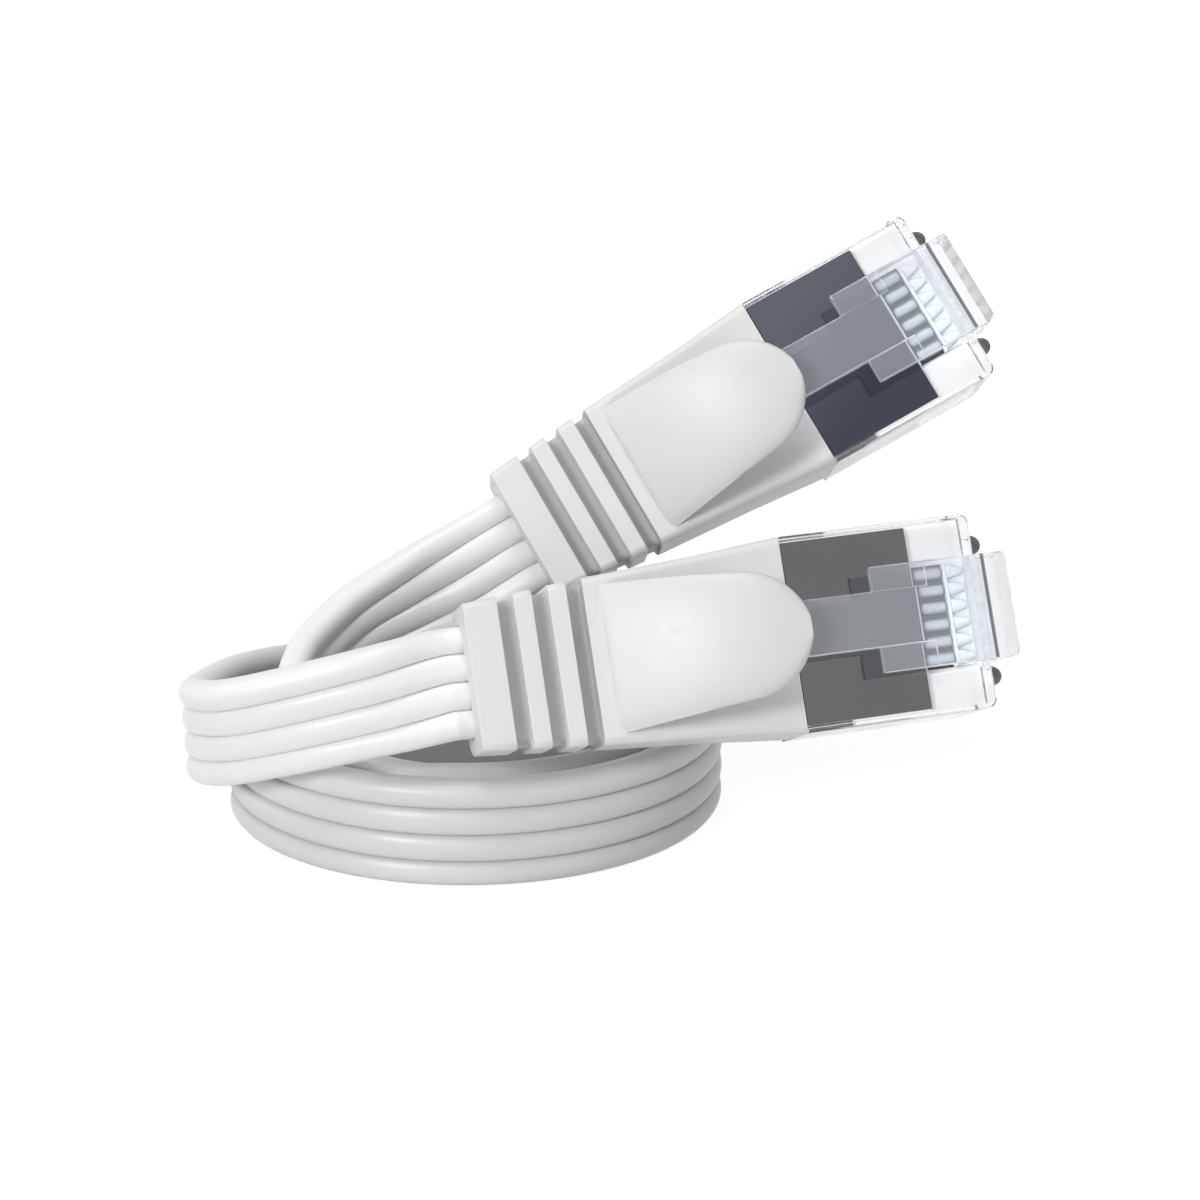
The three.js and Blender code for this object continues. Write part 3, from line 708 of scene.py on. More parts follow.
def plug_exit(end, beyond):
    """A place on the cord's middle, that far out from the boot's rear face."""
    scene = bpy.context.scene
    local = Vector((-scene.cable_boot.rear - beyond, 0, -scene.cable_plug.wire_row_depth))
    return plug_turn(end) @ local + Vector(PLUG_PLACES[end]["nose"]) * MM


def plug_lean(end):
    """The way across the plug, along which the cord's section lies there."""
    return (plug_turn(end) @ Vector((0, 1, 0))).normalized()


def lead_stations(angle, outwards, route, end, sizes):
    """Each station is a place on the cord's middle and its upper edge's lean."""
    straight = sizes.thickness
    at_boot = 0.5 * straight
    lean = plug_lean(end)
    return [
        (coil_lead(angle, outwards, SOFT_GAP, sizes), UP),
        (coil_lead(angle, outwards, SOFT_GAP + straight, sizes), UP),
        *[(Vector(at) * MM, Vector(tilt)) for at, tilt in route],
        (plug_exit(end, SOFT_GAP + at_boot), lean),
        (plug_exit(end, SOFT_GAP), lean),
    ]


def through_points(points, share, knot_power):
    """A place on a Catmull-Rom curve; power 0 gives its evenly timed kind."""
    place = share * (len(points) - 1)
    first = min(int(place), len(points) - 2)
    weight = place - first
    p1, p2 = points[first], points[first + 1]
    p0 = points[first - 1] if first > 0 else 2 * points[0] - points[1]
    p3 = points[first + 2] if first + 2 < len(points) else 2 * points[-1] - points[-2]
    d0, d1, d2 = [(b - a).length ** knot_power if knot_power else 1.0
                  for a, b in ((p0, p1), (p1, p2), (p2, p3))]
    if knot_power:
        t1 = ((p1 - p0) / d0 - (p2 - p0) / (d0 + d1) + (p2 - p1) / d1) * d1
        t2 = ((p2 - p1) / d1 - (p3 - p1) / (d1 + d2) + (p3 - p2) / d2) * d1
    else:
        t1, t2 = (p2 - p0) / 2, (p3 - p1) / 2
    cubic = 2 * p1 - 2 * p2 + t1 + t2
    square = -3 * p1 + 3 * p2 - 2 * t1 - t2
    return p1 + weight * (t1 + weight * (square + weight * cubic))


def lead_line(stations):
    """Close places and leans along the stations, by centripetal and even knots."""
    places = [at for at, _ in stations]
    leans = [lean for _, lean in stations]
    steps = (len(stations) - 1) * LEAD_STEPS_PER_POINT
    shares = [step / steps for step in range(steps + 1)]
    return [(through_points(places, s, 0.5), through_points(leans, s, 0)) for s in shares]


def cord_line(sizes):
    """The whole cord, from inside boot a round the coil to inside boot b."""
    to_a = lead_line(lead_stations(COIL_START, -1, ROUTE_TO_PLUG_A, "a", sizes))
    to_b = lead_line(lead_stations(COIL_END, 1, ROUTE_TO_PLUG_B, "b", sizes))
    steps = round((COIL_START - COIL_END) / COIL_STEP)
    turns = [COIL_START + (COIL_END - COIL_START) * step / steps for step in range(steps + 1)]
    coil = [(coil_point(angle, sizes), UP) for angle in turns]
    into = {end: [(plug_exit(end, beyond), plug_lean(end)) for beyond in (0, -CORD_IN_BOOT)]
            for end in ENDS}
    line = [*reversed(into["a"]), *reversed(to_a), *coil, *to_b, *into["b"]]
    shift = coil_shift()
    return [(place + shift, lean) for place, lean in line]


def cord_outline(sizes):
    """The closed section of the fused round lobes, as (across, out) pairs."""
    steps = 12
    fullness = 0.85
    lobe = sizes.width / sizes.lobe_count
    web, face = sizes.web / 2, sizes.thickness / 2
    upper = []
    for number in range(sizes.lobe_count):
        centre = -sizes.width / 2 + (number + 0.5) * lobe
        for step in range(steps):
            angle = math.pi * step / steps
            outer = (number == 0 and angle < math.pi / 2) or (
                number == sizes.lobe_count - 1 and angle > math.pi / 2
            )
            base = 0 if outer else web
            across = centre - lobe / 2 * math.cos(angle)
            upper.append((across, base + (face - base) * math.sin(angle) ** fullness))
    lower = [(-across, -out) for across, out in upper]
    return upper + lower


def cord_mesh(sizes):
    line = cord_line(sizes)
    outline = cord_outline(sizes)
    around = len(outline)
    corners = []
    for number, (place, lean) in enumerate(line):
        before = line[max(0, number - 1)][0]
        after = line[min(len(line) - 1, number + 1)][0]
        tangent = (after - before).normalized()
        across = (lean - tangent * lean.dot(tangent)).normalized()
        out = tangent.cross(across)
        for side, rise in outline:
            corner = place + across * side + out * rise
            corners.append((corner.x, corner.y, max(corner.z, 0.0)))
    faces = []
    for ring in range(len(line) - 1):
        for side in range(around):
            here = ring * around + side
            beside = ring * around + (side + 1) % around
            faces.append((here, beside, beside + around, here + around))
    faces.append(tuple(reversed(range(around))))
    faces.append(tuple((len(line) - 1) * around + side for side in range(around)))
    mesh = bpy.data.meshes.new("cord")
    mesh.from_pydata(corners, [], faces)
    mesh.validate()
    return mesh, [place for place, _ in line]


class CABLE_OT_cord(bpy.types.Operator):
    """Makes the flat cord in one unbroken piece, coil and both free stretches"""

    bl_idname = "cable.cord"
    bl_label = "Flat cord"

    def execute(self, context):
        sizes = context.scene.cable_cord
        mesh, path = cord_mesh(sizes)
        cord = bpy.data.objects.new("flat_cord", mesh)
        context.scene.collection.objects.link(cord)
        enter_edit(cord)
        bpy.ops.mesh.normals_make_consistent(inside=False)
        leave_edit()
        smooth(cord, 50)
        finish = vinyl("cord_vinyl", context.scene.cable_finish.cord, 0.36, 1500, 0.01 * MM)
        # The coil's darker cord is a painted shade.
        shade_coil(finish, 0.25)
        cord.data.materials.append(finish)
        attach(cord, ROOT_BODY)
        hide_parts("cable_lead_a", "cable_coil", "cable_lead_b")
        plug_exit("a", 0) + coil_shift()
        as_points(path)
        return {"FINISHED"}


# ---- boots -------------------------------------------------------------------
def between(start, end, share):
    return start + (end - start) * share


def boot_station(distance, sizes, in_groove=False):
    """One section across the boot, as (x, width, low, high)."""
    if distance < sizes.waist:
        share = (distance - sizes.front) / (sizes.waist - sizes.front)
        width = between(sizes.front_width, sizes.waist_width, share)
    elif distance < sizes.body_end:
        share = (distance - sizes.waist) / (sizes.body_end - sizes.waist)
        width = between(sizes.waist_width, sizes.body_end_width, share)
    else:
        share = (distance - sizes.body_end) / (sizes.rear - sizes.body_end)
        width = between(sizes.body_end_width, sizes.rear_width, share)
    along = (distance - sizes.front) / (sizes.rear - sizes.front)
    high = between(sizes.front_lift, 0, along)
    low = between(-sizes.front_depth, -sizes.rear_depth, along)
    if in_groove:
        width -= 2 * sizes.groove_side_depth
        high -= sizes.groove_depth
        low += sizes.groove_depth
    return (-distance, width, low, high)


def boot_stations(sizes):
    stations = [boot_station(d, sizes) for d in (sizes.front, sizes.waist, sizes.body_end)]
    start = sizes.body_end
    for number in range(sizes.groove_count):
        last = number + 1 == sizes.groove_count
        end = start + sizes.groove_length
        start = sizes.rear if last else end + sizes.rib_length
        stations.append(boot_station(end - sizes.groove_length, sizes, True))
        stations.append(boot_station(end, sizes, True))
        stations.append(boot_station(end, sizes))
        stations.append(boot_station(start, sizes))
    return stations


def is_in_groove(centre, sizes):
    """Whether a face of the boot lies between two ribs."""
    pitch = sizes.groove_length + sizes.rib_length
    from_first = -centre.x - sizes.body_end
    number = from_first // pitch
    return 0 <= number < sizes.groove_count and from_first - number * pitch < sizes.groove_length


def boot_room(sizes, plug, cord):
    """The hollow round the plug's neck, and the cord's way in from the rear."""
    row = -plug.wire_row_depth
    room = 0.57 * MM
    behind_neck = 0.6 * MM
    neck = plug.neck_depth / 2 + room
    yield add_block("neck_room", (-plug.plug_length - behind_neck, 0),
                    plug.neck_width + 2 * room, (row - neck, row + neck))
    gap = 0.06 * MM
    entry = cord.thickness / 2 + gap
    way_in = add_block("cord_entry", (-sizes.rear - MM, -sizes.rear + 1.1 * CORD_IN_BOOT),
                       cord.width + 2 * gap, (row - entry, row + entry))
    pick_edges(way_in, runs_along_x)
    bevel_picked(entry * 0.9, 4)
    yield way_in


def boot_shell(scene):
    sizes = scene.cable_boot
    x, width, low, high = boot_station(sizes.front, sizes)
    shell = add_block("boot_shell", (x - MM, x), width, (low, high))
    half = width / 2 - SAME
    pick_edges(shell, lambda a, b: runs_along_x(a, b) and abs(a.y) > half and a.z > 0)
    bevel_picked(sizes.top_bevel, 4)
    pick_edges(shell, lambda a, b: runs_along_x(a, b) and abs(a.y) > half and a.z < low / 2)
    bevel_picked(sizes.back_bevel, 6)
    loft_back(shell, boot_stations(sizes))
    for cutter in boot_room(sizes, scene.cable_plug, scene.cable_cord):
        cut_away(shell, cutter)
    round_edges(shell, 0.07 * MM)
    smooth(shell)
    # The faces in the grooves get the darker vinyl, a painted shade.
    give_finish(shell, 1, lambda centre, normal: is_in_groove(centre, sizes))
    return shell


class CABLE_OT_boots(bpy.types.Operator):
    """Makes the two moulded boots, with their grooves and rear flanges"""

    bl_idname = "cable.boots"
    bl_label = "Moulded boots"

    def execute(self, context):
        finish = context.scene.cable_finish
        looks = [
            vinyl("boot_vinyl", finish.boot, 0.46, 2600, 0.015 * MM),
            vinyl("groove_shade_vinyl", finish.groove, 0.6, 2600, 0.015 * MM),
        ]
        place_on_plugs(boot_shell(context.scene), looks, "boot_vinyl", "boot")
        return {"FINISHED"}


TONGUE_ROUND_START = 0.64  # shares of the tongue's length, from its root
TONGUE_TIP = 0.992  # the first section; at 1 the round end has no width
TONGUE_RISE = 1.15  # above 1, so that the top is level before the tip
TONGUE_SHARES = (
    TONGUE_TIP, 0.98, 0.96, 0.93, 0.89, 0.84, 0.78, 0.71, TONGUE_ROUND_START, 0.56,
    0.48, 0.4, 0.33, 0.26, 0.2, 0.15, 0.1, 0.06, 0.03, 0.0,
)


def tongue_station(share, sizes):
    """One section across the tongue, which rises, narrows and ends round."""
    straight = min(1.0, share / TONGUE_ROUND_START)
    width = between(sizes.tongue_root_width, sizes.tongue_tip_width, straight)
    past = max(0.0, (share - TONGUE_ROUND_START) / (1 - TONGUE_ROUND_START))
    width *= math.sqrt(max(0.0, 1 - past * past))
    rise = math.sin(min(1.0, share * TONGUE_RISE) * math.pi / 2)
    high = between(sizes.tongue_root_height, sizes.tongue_tip_height, rise)
    thick = between(sizes.tongue_root_thickness, sizes.tongue_tip_thickness, straight)
    x = -sizes.tongue_root + share * sizes.tongue_length
    return (x, width, high - thick, high)


def arch_across(pad, sizes):
    """Lowers the tongue's upper face towards its two sides."""
    for vertex in pad.data.vertices:
        share = max(0.0, (vertex.co.x + sizes.tongue_root) / sizes.tongue_length)
        _, width, low, high = tongue_station(min(TONGUE_ROUND_START, share), sizes)
        top = tongue_station(min(TONGUE_TIP, share), sizes)[3]
        if vertex.co.z > top - 0.5 * (high - low):
            vertex.co.z -= sizes.tongue_crown * (2 * vertex.co.y / width) ** 2


def tongue_pad(scene):
    """Built backwards from its round tip, so that its root is the last face."""
    sizes = scene.cable_boot
    stations = [tongue_station(share, sizes) for share in TONGUE_SHARES]
    x, width, low, high = stations[0]
    pad = add_block("tongue_pad", (x - 0.05 * MM, x), width, (low, high))
    pick_edges(pad, runs_along_x)
    edge_round = (high - low) * 0.34
    bevel_picked(edge_round, 4)
    strips = 12
    lines = [(x, width * (step / strips - 0.5), 0) for step in range(1, strips)]
    split_at(pad, lines, (0, 1, 0))
    loft_back(pad, stations)
    arch_across(pad, sizes)
    round_edges(pad, 0.06 * MM, angle=50)
    smooth(pad, 60)
    return pad


class CABLE_OT_tongues(bpy.types.Operator):
    """Makes the boots' sprung tongues"""

    bl_idname = "cable.tongues"
    bl_label = "Boot tongues"

    def execute(self, context):
        scene = context.scene
        sizes = scene.cable_boot
        finish = vinyl("tongue_shade_vinyl", scene.cable_finish.tongue, 0.42, 2600, 0.012 * MM)
        made = place_on_plugs(tongue_pad(scene), [finish], "boot_vinyl", "tongue", rides=False)
        root = Vector((-sizes.tongue_root, 0, sizes.tongue_root_height))
        bend_length = 2.2 * MM
        bend_between(made, root, root + Vector((bend_length, 0, 0)))
        return {"FINISHED"}


# ---- plugs -------------------------------------------------------------------
def housing_blank(sizes):
    """The clear body with its rounded corners, its neck and its two ledges."""
    body = add_block("plug_housing", (-sizes.body_length, 0), sizes.width, (-sizes.depth, 0))
    pick_edges(body, lambda a, b: abs(a.z - b.z) > MM and a.x > -SAME)
    bevel_picked(sizes.corner_round, 5)
    pick_edges(body, lambda a, b: abs(a.z - b.z) < SAME
               and max(a.x, b.x) > -sizes.body_length + SAME
               and (abs(a.z) < SAME or a.z < -sizes.depth + SAME))
    bevel_picked(sizes.edge_round, 3)
    row = -sizes.wire_row_depth
    half = sizes.neck_depth / 2
    join_on(body, add_block("neck", (-sizes.plug_length, -sizes.body_length + MM),
                            sizes.neck_width, (row - half, row + half)))
    top = -sizes.ledge_radius
    for y in (-sizes.ledge_offset, sizes.ledge_offset):
        ledge = add_rod("ledge", sizes.ledge_radius, (0, y, top), (0, y, top - sizes.ledge_length))
        choose(ledge)
        bpy.ops.transform.resize(value=(sizes.ledge_flatness, 1, 1), center_override=(0, 0, 0))
        bpy.ops.object.transform_apply(location=True, rotation=True, scale=True)
        join_on(body, ledge)
    return body


SEAT_BELOW_FRONT = 7.6 * MM  # from the nose to the lower seat's front
SLOT_BACK = 4.54 * MM  # the contacts' slots, from the nose
SLOT_FRONT = 0.7 * MM
SLOT_WIDTH = 0.6 * MM
SLOT_BELOW_ROW = 0.5 * MM
PAST_BAY = 0.05 * MM  # the seat's front cuts that far into the bay's room


def seat_cutters(sizes):
    """The sunk seats of the shield's two plates and of the step at the neck."""
    inner = sizes.width - 2 * sizes.rim_width
    wing = (sizes.width / 2 - sizes.rim_width) - sizes.bay_half_width
    middle = sizes.bay_half_width + wing / 2
    back = -2 * sizes.body_length
    seat = (-sizes.seat_depth, MM)
    yield add_block("seat", (back, -sizes.bay_back + PAST_BAY), inner, seat)
    for side in (-1, 1):
        yield add_block("corner", (-sizes.bay_back - MM, -sizes.seat_front), wing, seat,
                        side * middle)
    yield add_block("seat_below", (back, -SEAT_BELOW_FRONT), inner,
                    (-sizes.depth - MM, -sizes.depth + sizes.seat_depth))


def bay_cutters(sizes):
    """The bay under the latch and the contacts' slots."""
    yield add_block("bay", (-sizes.bay_back, -sizes.bay_front), 2 * sizes.bay_half_width,
                    (-sizes.bay_depth, MM))
    first = -(sizes.contact_count - 1) / 2 * sizes.contact_pitch
    top = -sizes.wire_row_depth - SLOT_BELOW_ROW
    slots = add_block("slot", (-SLOT_BACK, -SLOT_FRONT), SLOT_WIDTH,
                      (-sizes.depth - MM, top), first)
    repeat_across(slots, sizes.contact_count, sizes.contact_pitch)
    yield slots


# The order of the finishes on a housing (the first three) and on a latch.
CLEAR, FROSTED, DARK, SOFT, GLINT, HOOK = range(6)


def is_in_bay(centre, sizes):
    """Whether a housing face is a wall of the bay or of the windows beside it."""
    slack = 0.1 * MM
    if centre.x < -sizes.bay_back - slack:
        return False
    inside = centre.x < -sizes.bay_front + slack and abs(centre.y) < sizes.bay_half_width + slack
    window = centre.x < -sizes.seat_front + slack
    return (inside and -sizes.bay_depth - slack < centre.z < -slack) or (
        window and abs(centre.z + sizes.seat_depth) < 0.02 * MM)


def is_dark_edge(centre, normal, sizes):
    """Whether a housing face is a ledge's cap or beside a corner of the nose, where shade and dark
    refraction are painted.
    """
    cap = centre.x > 0.02 * MM and normal.z > 0.3
    at_corner = (centre.x > -0.8 * sizes.corner_round
                 and abs(centre.y) > sizes.width / 2 - sizes.corner_round)
    return cap or (at_corner and centre.z > -0.7 * sizes.edge_round and normal.z < 0.95)


def plug_housing(scene):
    sizes = scene.cable_plug
    body = housing_blank(sizes)
    for cutters in (seat_cutters, bay_cutters):
        for cutter in cutters(sizes):
            cut_away(body, cutter)
    merge_facets(body, SAME)
    split_at(body, [(-sizes.bay_back - 0.02 * MM, 0, 0)], (1, 0, 0))
    round_edges(body, 0.05 * MM, angle=40)
    smooth(body, 35)
    give_finish(body, FROSTED, lambda centre, normal: is_in_bay(centre, sizes))
    # These faces get the dark tint, a painted shade and dark refraction.
    give_finish(body, DARK, lambda centre, normal: is_dark_edge(centre, normal, sizes))
    return body


class CABLE_OT_housings(bpy.types.Operator):
    """Makes the two clear plug housings"""

    bl_idname = "cable.housings"
    bl_label = "Clear housings"

    def execute(self, context):
        finish = context.scene.cable_finish
        looks = [
            clear_plastic("clear_plastic", finish.clear, 0.07, 0.1),
            clear_plastic("frosted_clear", finish.window, 0.45, 0.75),
            clear_plastic("painted_dark_edge", finish.seam, 0.2, 0.6),
        ]
        place_on_plugs(plug_housing(context.scene), looks, "clear_plastic", "housing")
        return {"FINISHED"}


COMB_FLOOR = 0.15 * MM  # thickness of the comb's base
COMB_WALL = 0.2 * MM
COMB_EDGE = 0.12 * MM  # from the comb's back or split to a wall's middle or the teeth
TOOTH_LIFT = 0.12 * MM  # from the bay's floor to the teeth's middle
REAR_TOOTH_RADII = (0.46 * MM, 0.46 * MM)
FRONT_TOOTH_RADII = (0.5 * MM, 0.24 * MM)
REAR_TOOTH_SHADE = (0.22 * MM, 0.45 * MM)  # heights above the base, from the painted shade at the teeth's feet to the painted light on their backs
FRONT_TOOTH_SHADE = (0.0, 0.3 * MM)


def comb_row(name, sizes, x_span, radii):
    """A row of half-round teeth with rounded ends, sunk into the comb's base."""
    first = -(sizes.comb_teeth - 1) / 2 * sizes.contact_pitch
    deselect_all()
    bpy.ops.mesh.primitive_cone_add(
        radius1=radii[0],
        radius2=radii[1],
        depth=x_span[1] - x_span[0],
        vertices=ROD_SIDES,
        location=(sum(x_span) / 2, first, -sizes.bay_depth + TOOTH_LIFT),
        rotation=(0, math.pi / 2, 0),
    )
    tooth = name_new(name)
    round_edges(tooth, min(radii) * 0.6, segments=4, angle=50)
    smooth(tooth, 60)
    repeat_across(tooth, sizes.comb_teeth, sizes.contact_pitch)
    return tooth


def tooth_look(name, end, low_colour, high_colour, fade):
    """Frosted plastic with painted shade at the teeth's feet and painted light on their backs."""
    material = milky_plastic(name, high_colour)
    tree, shader = tree_and_shader(material)
    up = plug_turn(end).to_3x3() @ UP
    base = -bpy.context.scene.cable_plug.bay_depth + COMB_FLOOR
    low, high = (plug_frame(end) @ Vector((0, 0, base + height)) for height in fade)
    rise = fade_along(tree, up, low, high)
    colour_now = mix_colours(tree, rise, (*low_colour, 1), base_colour(shader))
    feed(tree, shader, {"Base Color": colour_now})
    return material


def comb_base_shade(sizes):
    """A flat base with a wall at its back and one between its two rows of teeth."""
    floor = -sizes.bay_depth
    side = sizes.comb_width
    base = add_block("comb_base_shade", (-sizes.comb_back, -sizes.comb_front), side,
                     (floor, floor + COMB_FLOOR))
    for x in (-sizes.comb_back + COMB_EDGE, -sizes.comb_split):
        join_on(base, add_block("comb_wall", (x - COMB_WALL / 2, x + COMB_WALL / 2), side,
                                (floor + 0.01 * MM, floor + sizes.comb_height)))
    round_edges(base, 0.03 * MM)
    smooth(base)
    # The low faces behind the split keep the first finish, the painted shade; the walls' upper faces
    # and the front part get the pale finish.
    give_finish(base, 1, lambda centre, normal: centre.z > floor + 0.2 * MM
                or centre.x > -sizes.comb_split)
    return base


class CABLE_OT_combs(bpy.types.Operator):
    """Makes the combs that hold the wires apart in the bays under the latches"""

    bl_idname = "cable.combs"
    bl_label = "Wire combs"

    def execute(self, context):
        sizes = context.scene.cable_plug
        finish = context.scene.cable_finish
        pale = milky_plastic("pale_comb", finish.milky)
        dark = milky_plastic("comb_painted_shade", finish.comb_base_shade)
        place_on_plugs(comb_base_shade(sizes), [dark, pale], "frosted_plastic")
        rear = (-sizes.comb_back + 0.25 * MM, -sizes.comb_split - COMB_EDGE)
        place_on_plugs(
            comb_row("comb_rear", sizes, rear, REAR_TOOTH_RADII),
            lambda end: [tooth_look(f"rear_teeth_{end}", end, finish.comb_base_shade,
                                    finish.comb_teeth, REAR_TOOTH_SHADE)],
            "frosted_plastic",
        )
        front = (-sizes.comb_split + COMB_EDGE, -sizes.comb_front - 0.05 * MM)
        place_on_plugs(
            comb_row("comb_front", sizes, front, FRONT_TOOTH_RADII),
            lambda end: [tooth_look(f"front_teeth_{end}", end, finish.comb_shade,
                                    finish.milky, FRONT_TOOTH_SHADE)],
            "frosted_plastic",
        )
        return {"FINISHED"}


LATCH_GAP = 0.03 * MM  # between the latch's root and the nose
LATCH_KNEE = 1.6 * MM  # from the nose to the place where the arm starts to rise
WING_START = 4 * MM  # from the nose to the step down to the wings
BESIDE_TAIL = 0.25 * MM  # the wings' step lies that far beside the tail's sides
LATCH_BEND = (0.9 * MM, -1.4 * MM)  # two places along the plug about the latch's root


def latch_arm(scene):
    """Root block, then the arm drawn back through the shoulders to the tail."""
    sizes = scene.cable_latch
    root_high, high = sizes.root_height, sizes.shoulder_height
    heel, low = root_high - sizes.thickness, high - sizes.thickness
    arm = add_block("latch_arm", (LATCH_GAP, sizes.reach), sizes.width, (-sizes.hook, root_high))
    split_at(arm, [(0, 0, heel)], (0, 0, 1))
    pick_faces(arm, lambda centre, normal: normal.x < -0.9 and centre.z > heel)
    bpy.ops.mesh.extrude_region_move()
    draw_out((LATCH_GAP, sizes.width, heel, root_high), [
        (-LATCH_KNEE, sizes.width, heel, root_high + 0.1 * MM),
        (-sizes.shoulder, sizes.width, low, high),
        (-sizes.shoulder, sizes.tail_width, low, high),
        (-sizes.tail_end, sizes.tail_width, sizes.tail_height - sizes.tail_thickness,
         sizes.tail_height),
    ])
    pick_edges(arm, lambda a, b: abs(a.x - b.x) < SAME and 0 < a.x < 0.1 * MM
               and abs(a.z - heel) < SAME and abs(b.z - heel) < SAME)
    bevel_picked(sizes.root_fillet, 4)
    pick_edges(arm, lambda a, b: min(a.x, b.x) > sizes.reach - SAME and abs(a.z - b.z) > MM / 2)
    bevel_picked(sizes.corner_round, 4)
    wing = (sizes.width - sizes.tail_width) / 2
    step = high - sizes.wing_drop - 0.05 * MM
    for side in (-1, 1):
        middle = side * (sizes.tail_width / 2 + wing / 2 + BESIDE_TAIL)
        cut_away(arm, add_block("wing_cut", (-sizes.shoulder - MM, -WING_START),
                                wing + 2 * BESIDE_TAIL, (step, 4 * MM), middle))
    round_edges(arm, 0.09 * MM, segments=3)
    smooth(arm)
    finish_latch(arm, sizes, heel)
    return arm


def finish_latch(arm, sizes, heel):
    """The root's own tint, then painted shade in its inner corner, and painted highlights along the
    arm's edges: milky side walls and mirror-white rounded edges.
    """
    behind_nose = -0.2 * MM
    corner = 2 * sizes.root_fillet
    give_finish(arm, HOOK, lambda centre, normal: centre.x > 0)
    # Painted highlights: milky side walls and mirror-white lower edges stand in for the bright lines
    # along the clear arm's edges.
    give_finish(arm, FROSTED, lambda centre, normal: abs(normal.y) > 0.8
                and centre.x < behind_nose)
    give_finish(arm, GLINT, lambda centre, normal: -0.97 < normal.y < -0.3
                and abs(normal.z) > 0.2 and centre.x < behind_nose)
    give_finish(arm, SOFT, lambda centre, normal: normal.x > 0.8
                and centre.x > sizes.reach - 0.2 * MM)
    # Painted shade: the inner corner under the root gets the dark tint.
    give_finish(arm, DARK, lambda centre, normal: normal.z < -0.1 and normal.x < -0.1
                and centre.x > -corner and centre.z > heel - corner)


class CABLE_OT_latches(bpy.types.Operator):
    """Makes the two clear latches"""

    bl_idname = "cable.latches"
    bl_label = "Clear latches"

    def execute(self, context):
        finish = context.scene.cable_finish
        looks = [
            clear_plastic("latch_plastic", finish.latch, 0.04, 0.085),
            clear_plastic("latch_edge_highlight", finish.clear, 0.3, 0.85),
            clear_plastic("latch_root_shade", finish.seam, 0.2, 0.9),
            clear_plastic("latch_front", finish.hook, 0.1, 0.2, 1.02),
            plated_metal("latch_glint", (1, 1, 1), 0.2),
            clear_plastic("latch_hook", finish.hook, 0.04, 0.085),
        ]
        made = place_on_plugs(latch_arm(context.scene), looks, "clear_plastic", "latch",
                              rides=False)
        height = context.scene.cable_latch.root_height / 2
        start, end = (Vector((x, 0, height)) for x in LATCH_BEND)
        bend_between(made, start, end)
        return {"FINISHED"}


def softened_copy(node, name, width):
    """A copy of a CAD node with its seams merged and its edges eased."""
    piece = bpy.data.objects.new(name, frame["nodes"][node].data.copy())
    bpy.context.scene.collection.objects.link(piece)
    merge_facets(piece, 1e-7)
    round_edges(piece, width)
    smooth(piece)
    return piece


SHIELD_SHADE_WAY = (-0.4, 1, 0)  # in the plug's own frame, from dark to light
SHIELD_DARKEST = (-8 * MM, -4 * MM, 0)
SHIELD_LIGHTEST = (-8 * MM, 5 * MM, 0)


def shaded_shield(name, finish, end):
    """The far plug's shield gets a painted reflection, darker towards its lower side; the near one is
    even.
    """
    material = plated_metal(name, finish.shield, 0.07)
    if end == "b":
        tree, shader = tree_and_shader(material)
        place = plug_frame(end)
        direction = place.to_3x3() @ Vector(SHIELD_SHADE_WAY)
        dark, light = (place @ Vector(at) for at in (SHIELD_DARKEST, SHIELD_LIGHTEST))
        share = fade_along(tree, direction, dark, light)
        shade = mix_colours(tree, share, (*finish.shield_shade_dark, 1), (*finish.shield_shade_light, 1))
        feed(tree, shader, {"Base Color": shade})
    return material


class CABLE_OT_shields(bpy.types.Operator):
    """Makes the plated shields, whose folded edges are eased"""

    bl_idname = "cable.shields"
    bl_label = "Plated shields"

    def execute(self, context):
        for end in ENDS:
            shield = softened_copy(f"shield_{end}", f"shield_sheet_{end}", 0.06 * MM)
            shield.data.materials.clear()
            finish = context.scene.cable_finish
            shield.data.materials.append(shaded_shield(f"shield_metal_{end}", finish, end))
            shield.data.materials.append(plated_metal(f"shield_edge_{end}", finish.edge, 0.3))
            up = plug_frame(end).to_3x3() @ Vector((0, 1, 0))
            # The faces turned towards the plug's +Y side get the near-black painted shade.
            give_finish(shield, 1, lambda centre, normal: normal.dot(up) > 0.3)
            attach(shield, ROOT_BODY)
            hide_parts(f"shield_{end}")
        return {"FINISHED"}


class CABLE_OT_inner_pieces(bpy.types.Operator):
    """Gives the wires, contacts, load bars and ferrules their finishes"""

    bl_idname = "cable.inner_pieces"
    bl_label = "Inner pieces"

    def execute(self, context):
        finish = context.scene.cable_finish
        looks = {
            "load_bar": milky_plastic("frosted_plastic", finish.milky),
            "contact": plated_metal("gold_plate", finish.gold, 0.25),
            "conductor": vinyl("wire_sleeve", finish.wire, 0.4, 3000, 0.005 * MM),
            "ferrule": plated_metal("ferrule_metal", finish.ferrule, 0.35),
        }
        for node, piece in frame["nodes"].items():
            for start, look in looks.items():
                if node.startswith(start):
                    piece.data.materials.clear()
                    piece.data.materials.append(look)
        return {"FINISHED"}


# ---- stage -------------------------------------------------------------------
CAMERA_LENS = 81.04
CAMERA_TARGET = (7.9555, 0.0, 12.9485)  # in the coil's own frame, in millimetres
CAMERA_DISTANCE = 170.0 * MM
CAMERA_ELEVATION = math.radians(16.551)
AMBIENT = 0.24  # the world's light on the part, where 1 is the white that is seen
FLOOR_SHADE_IN_COIL = 0.4  # share of the floor's colour that is left within the coil, as painted shade there
FLOOR_FADE = (0.05, 0.22)  # metres from the floor's middle, over which the shadow fades
FLOOR_GLOW_NEAR = 0.82  # share of white in the floor near the part
FLOOR_GLOW = 1.14  # strength of that white
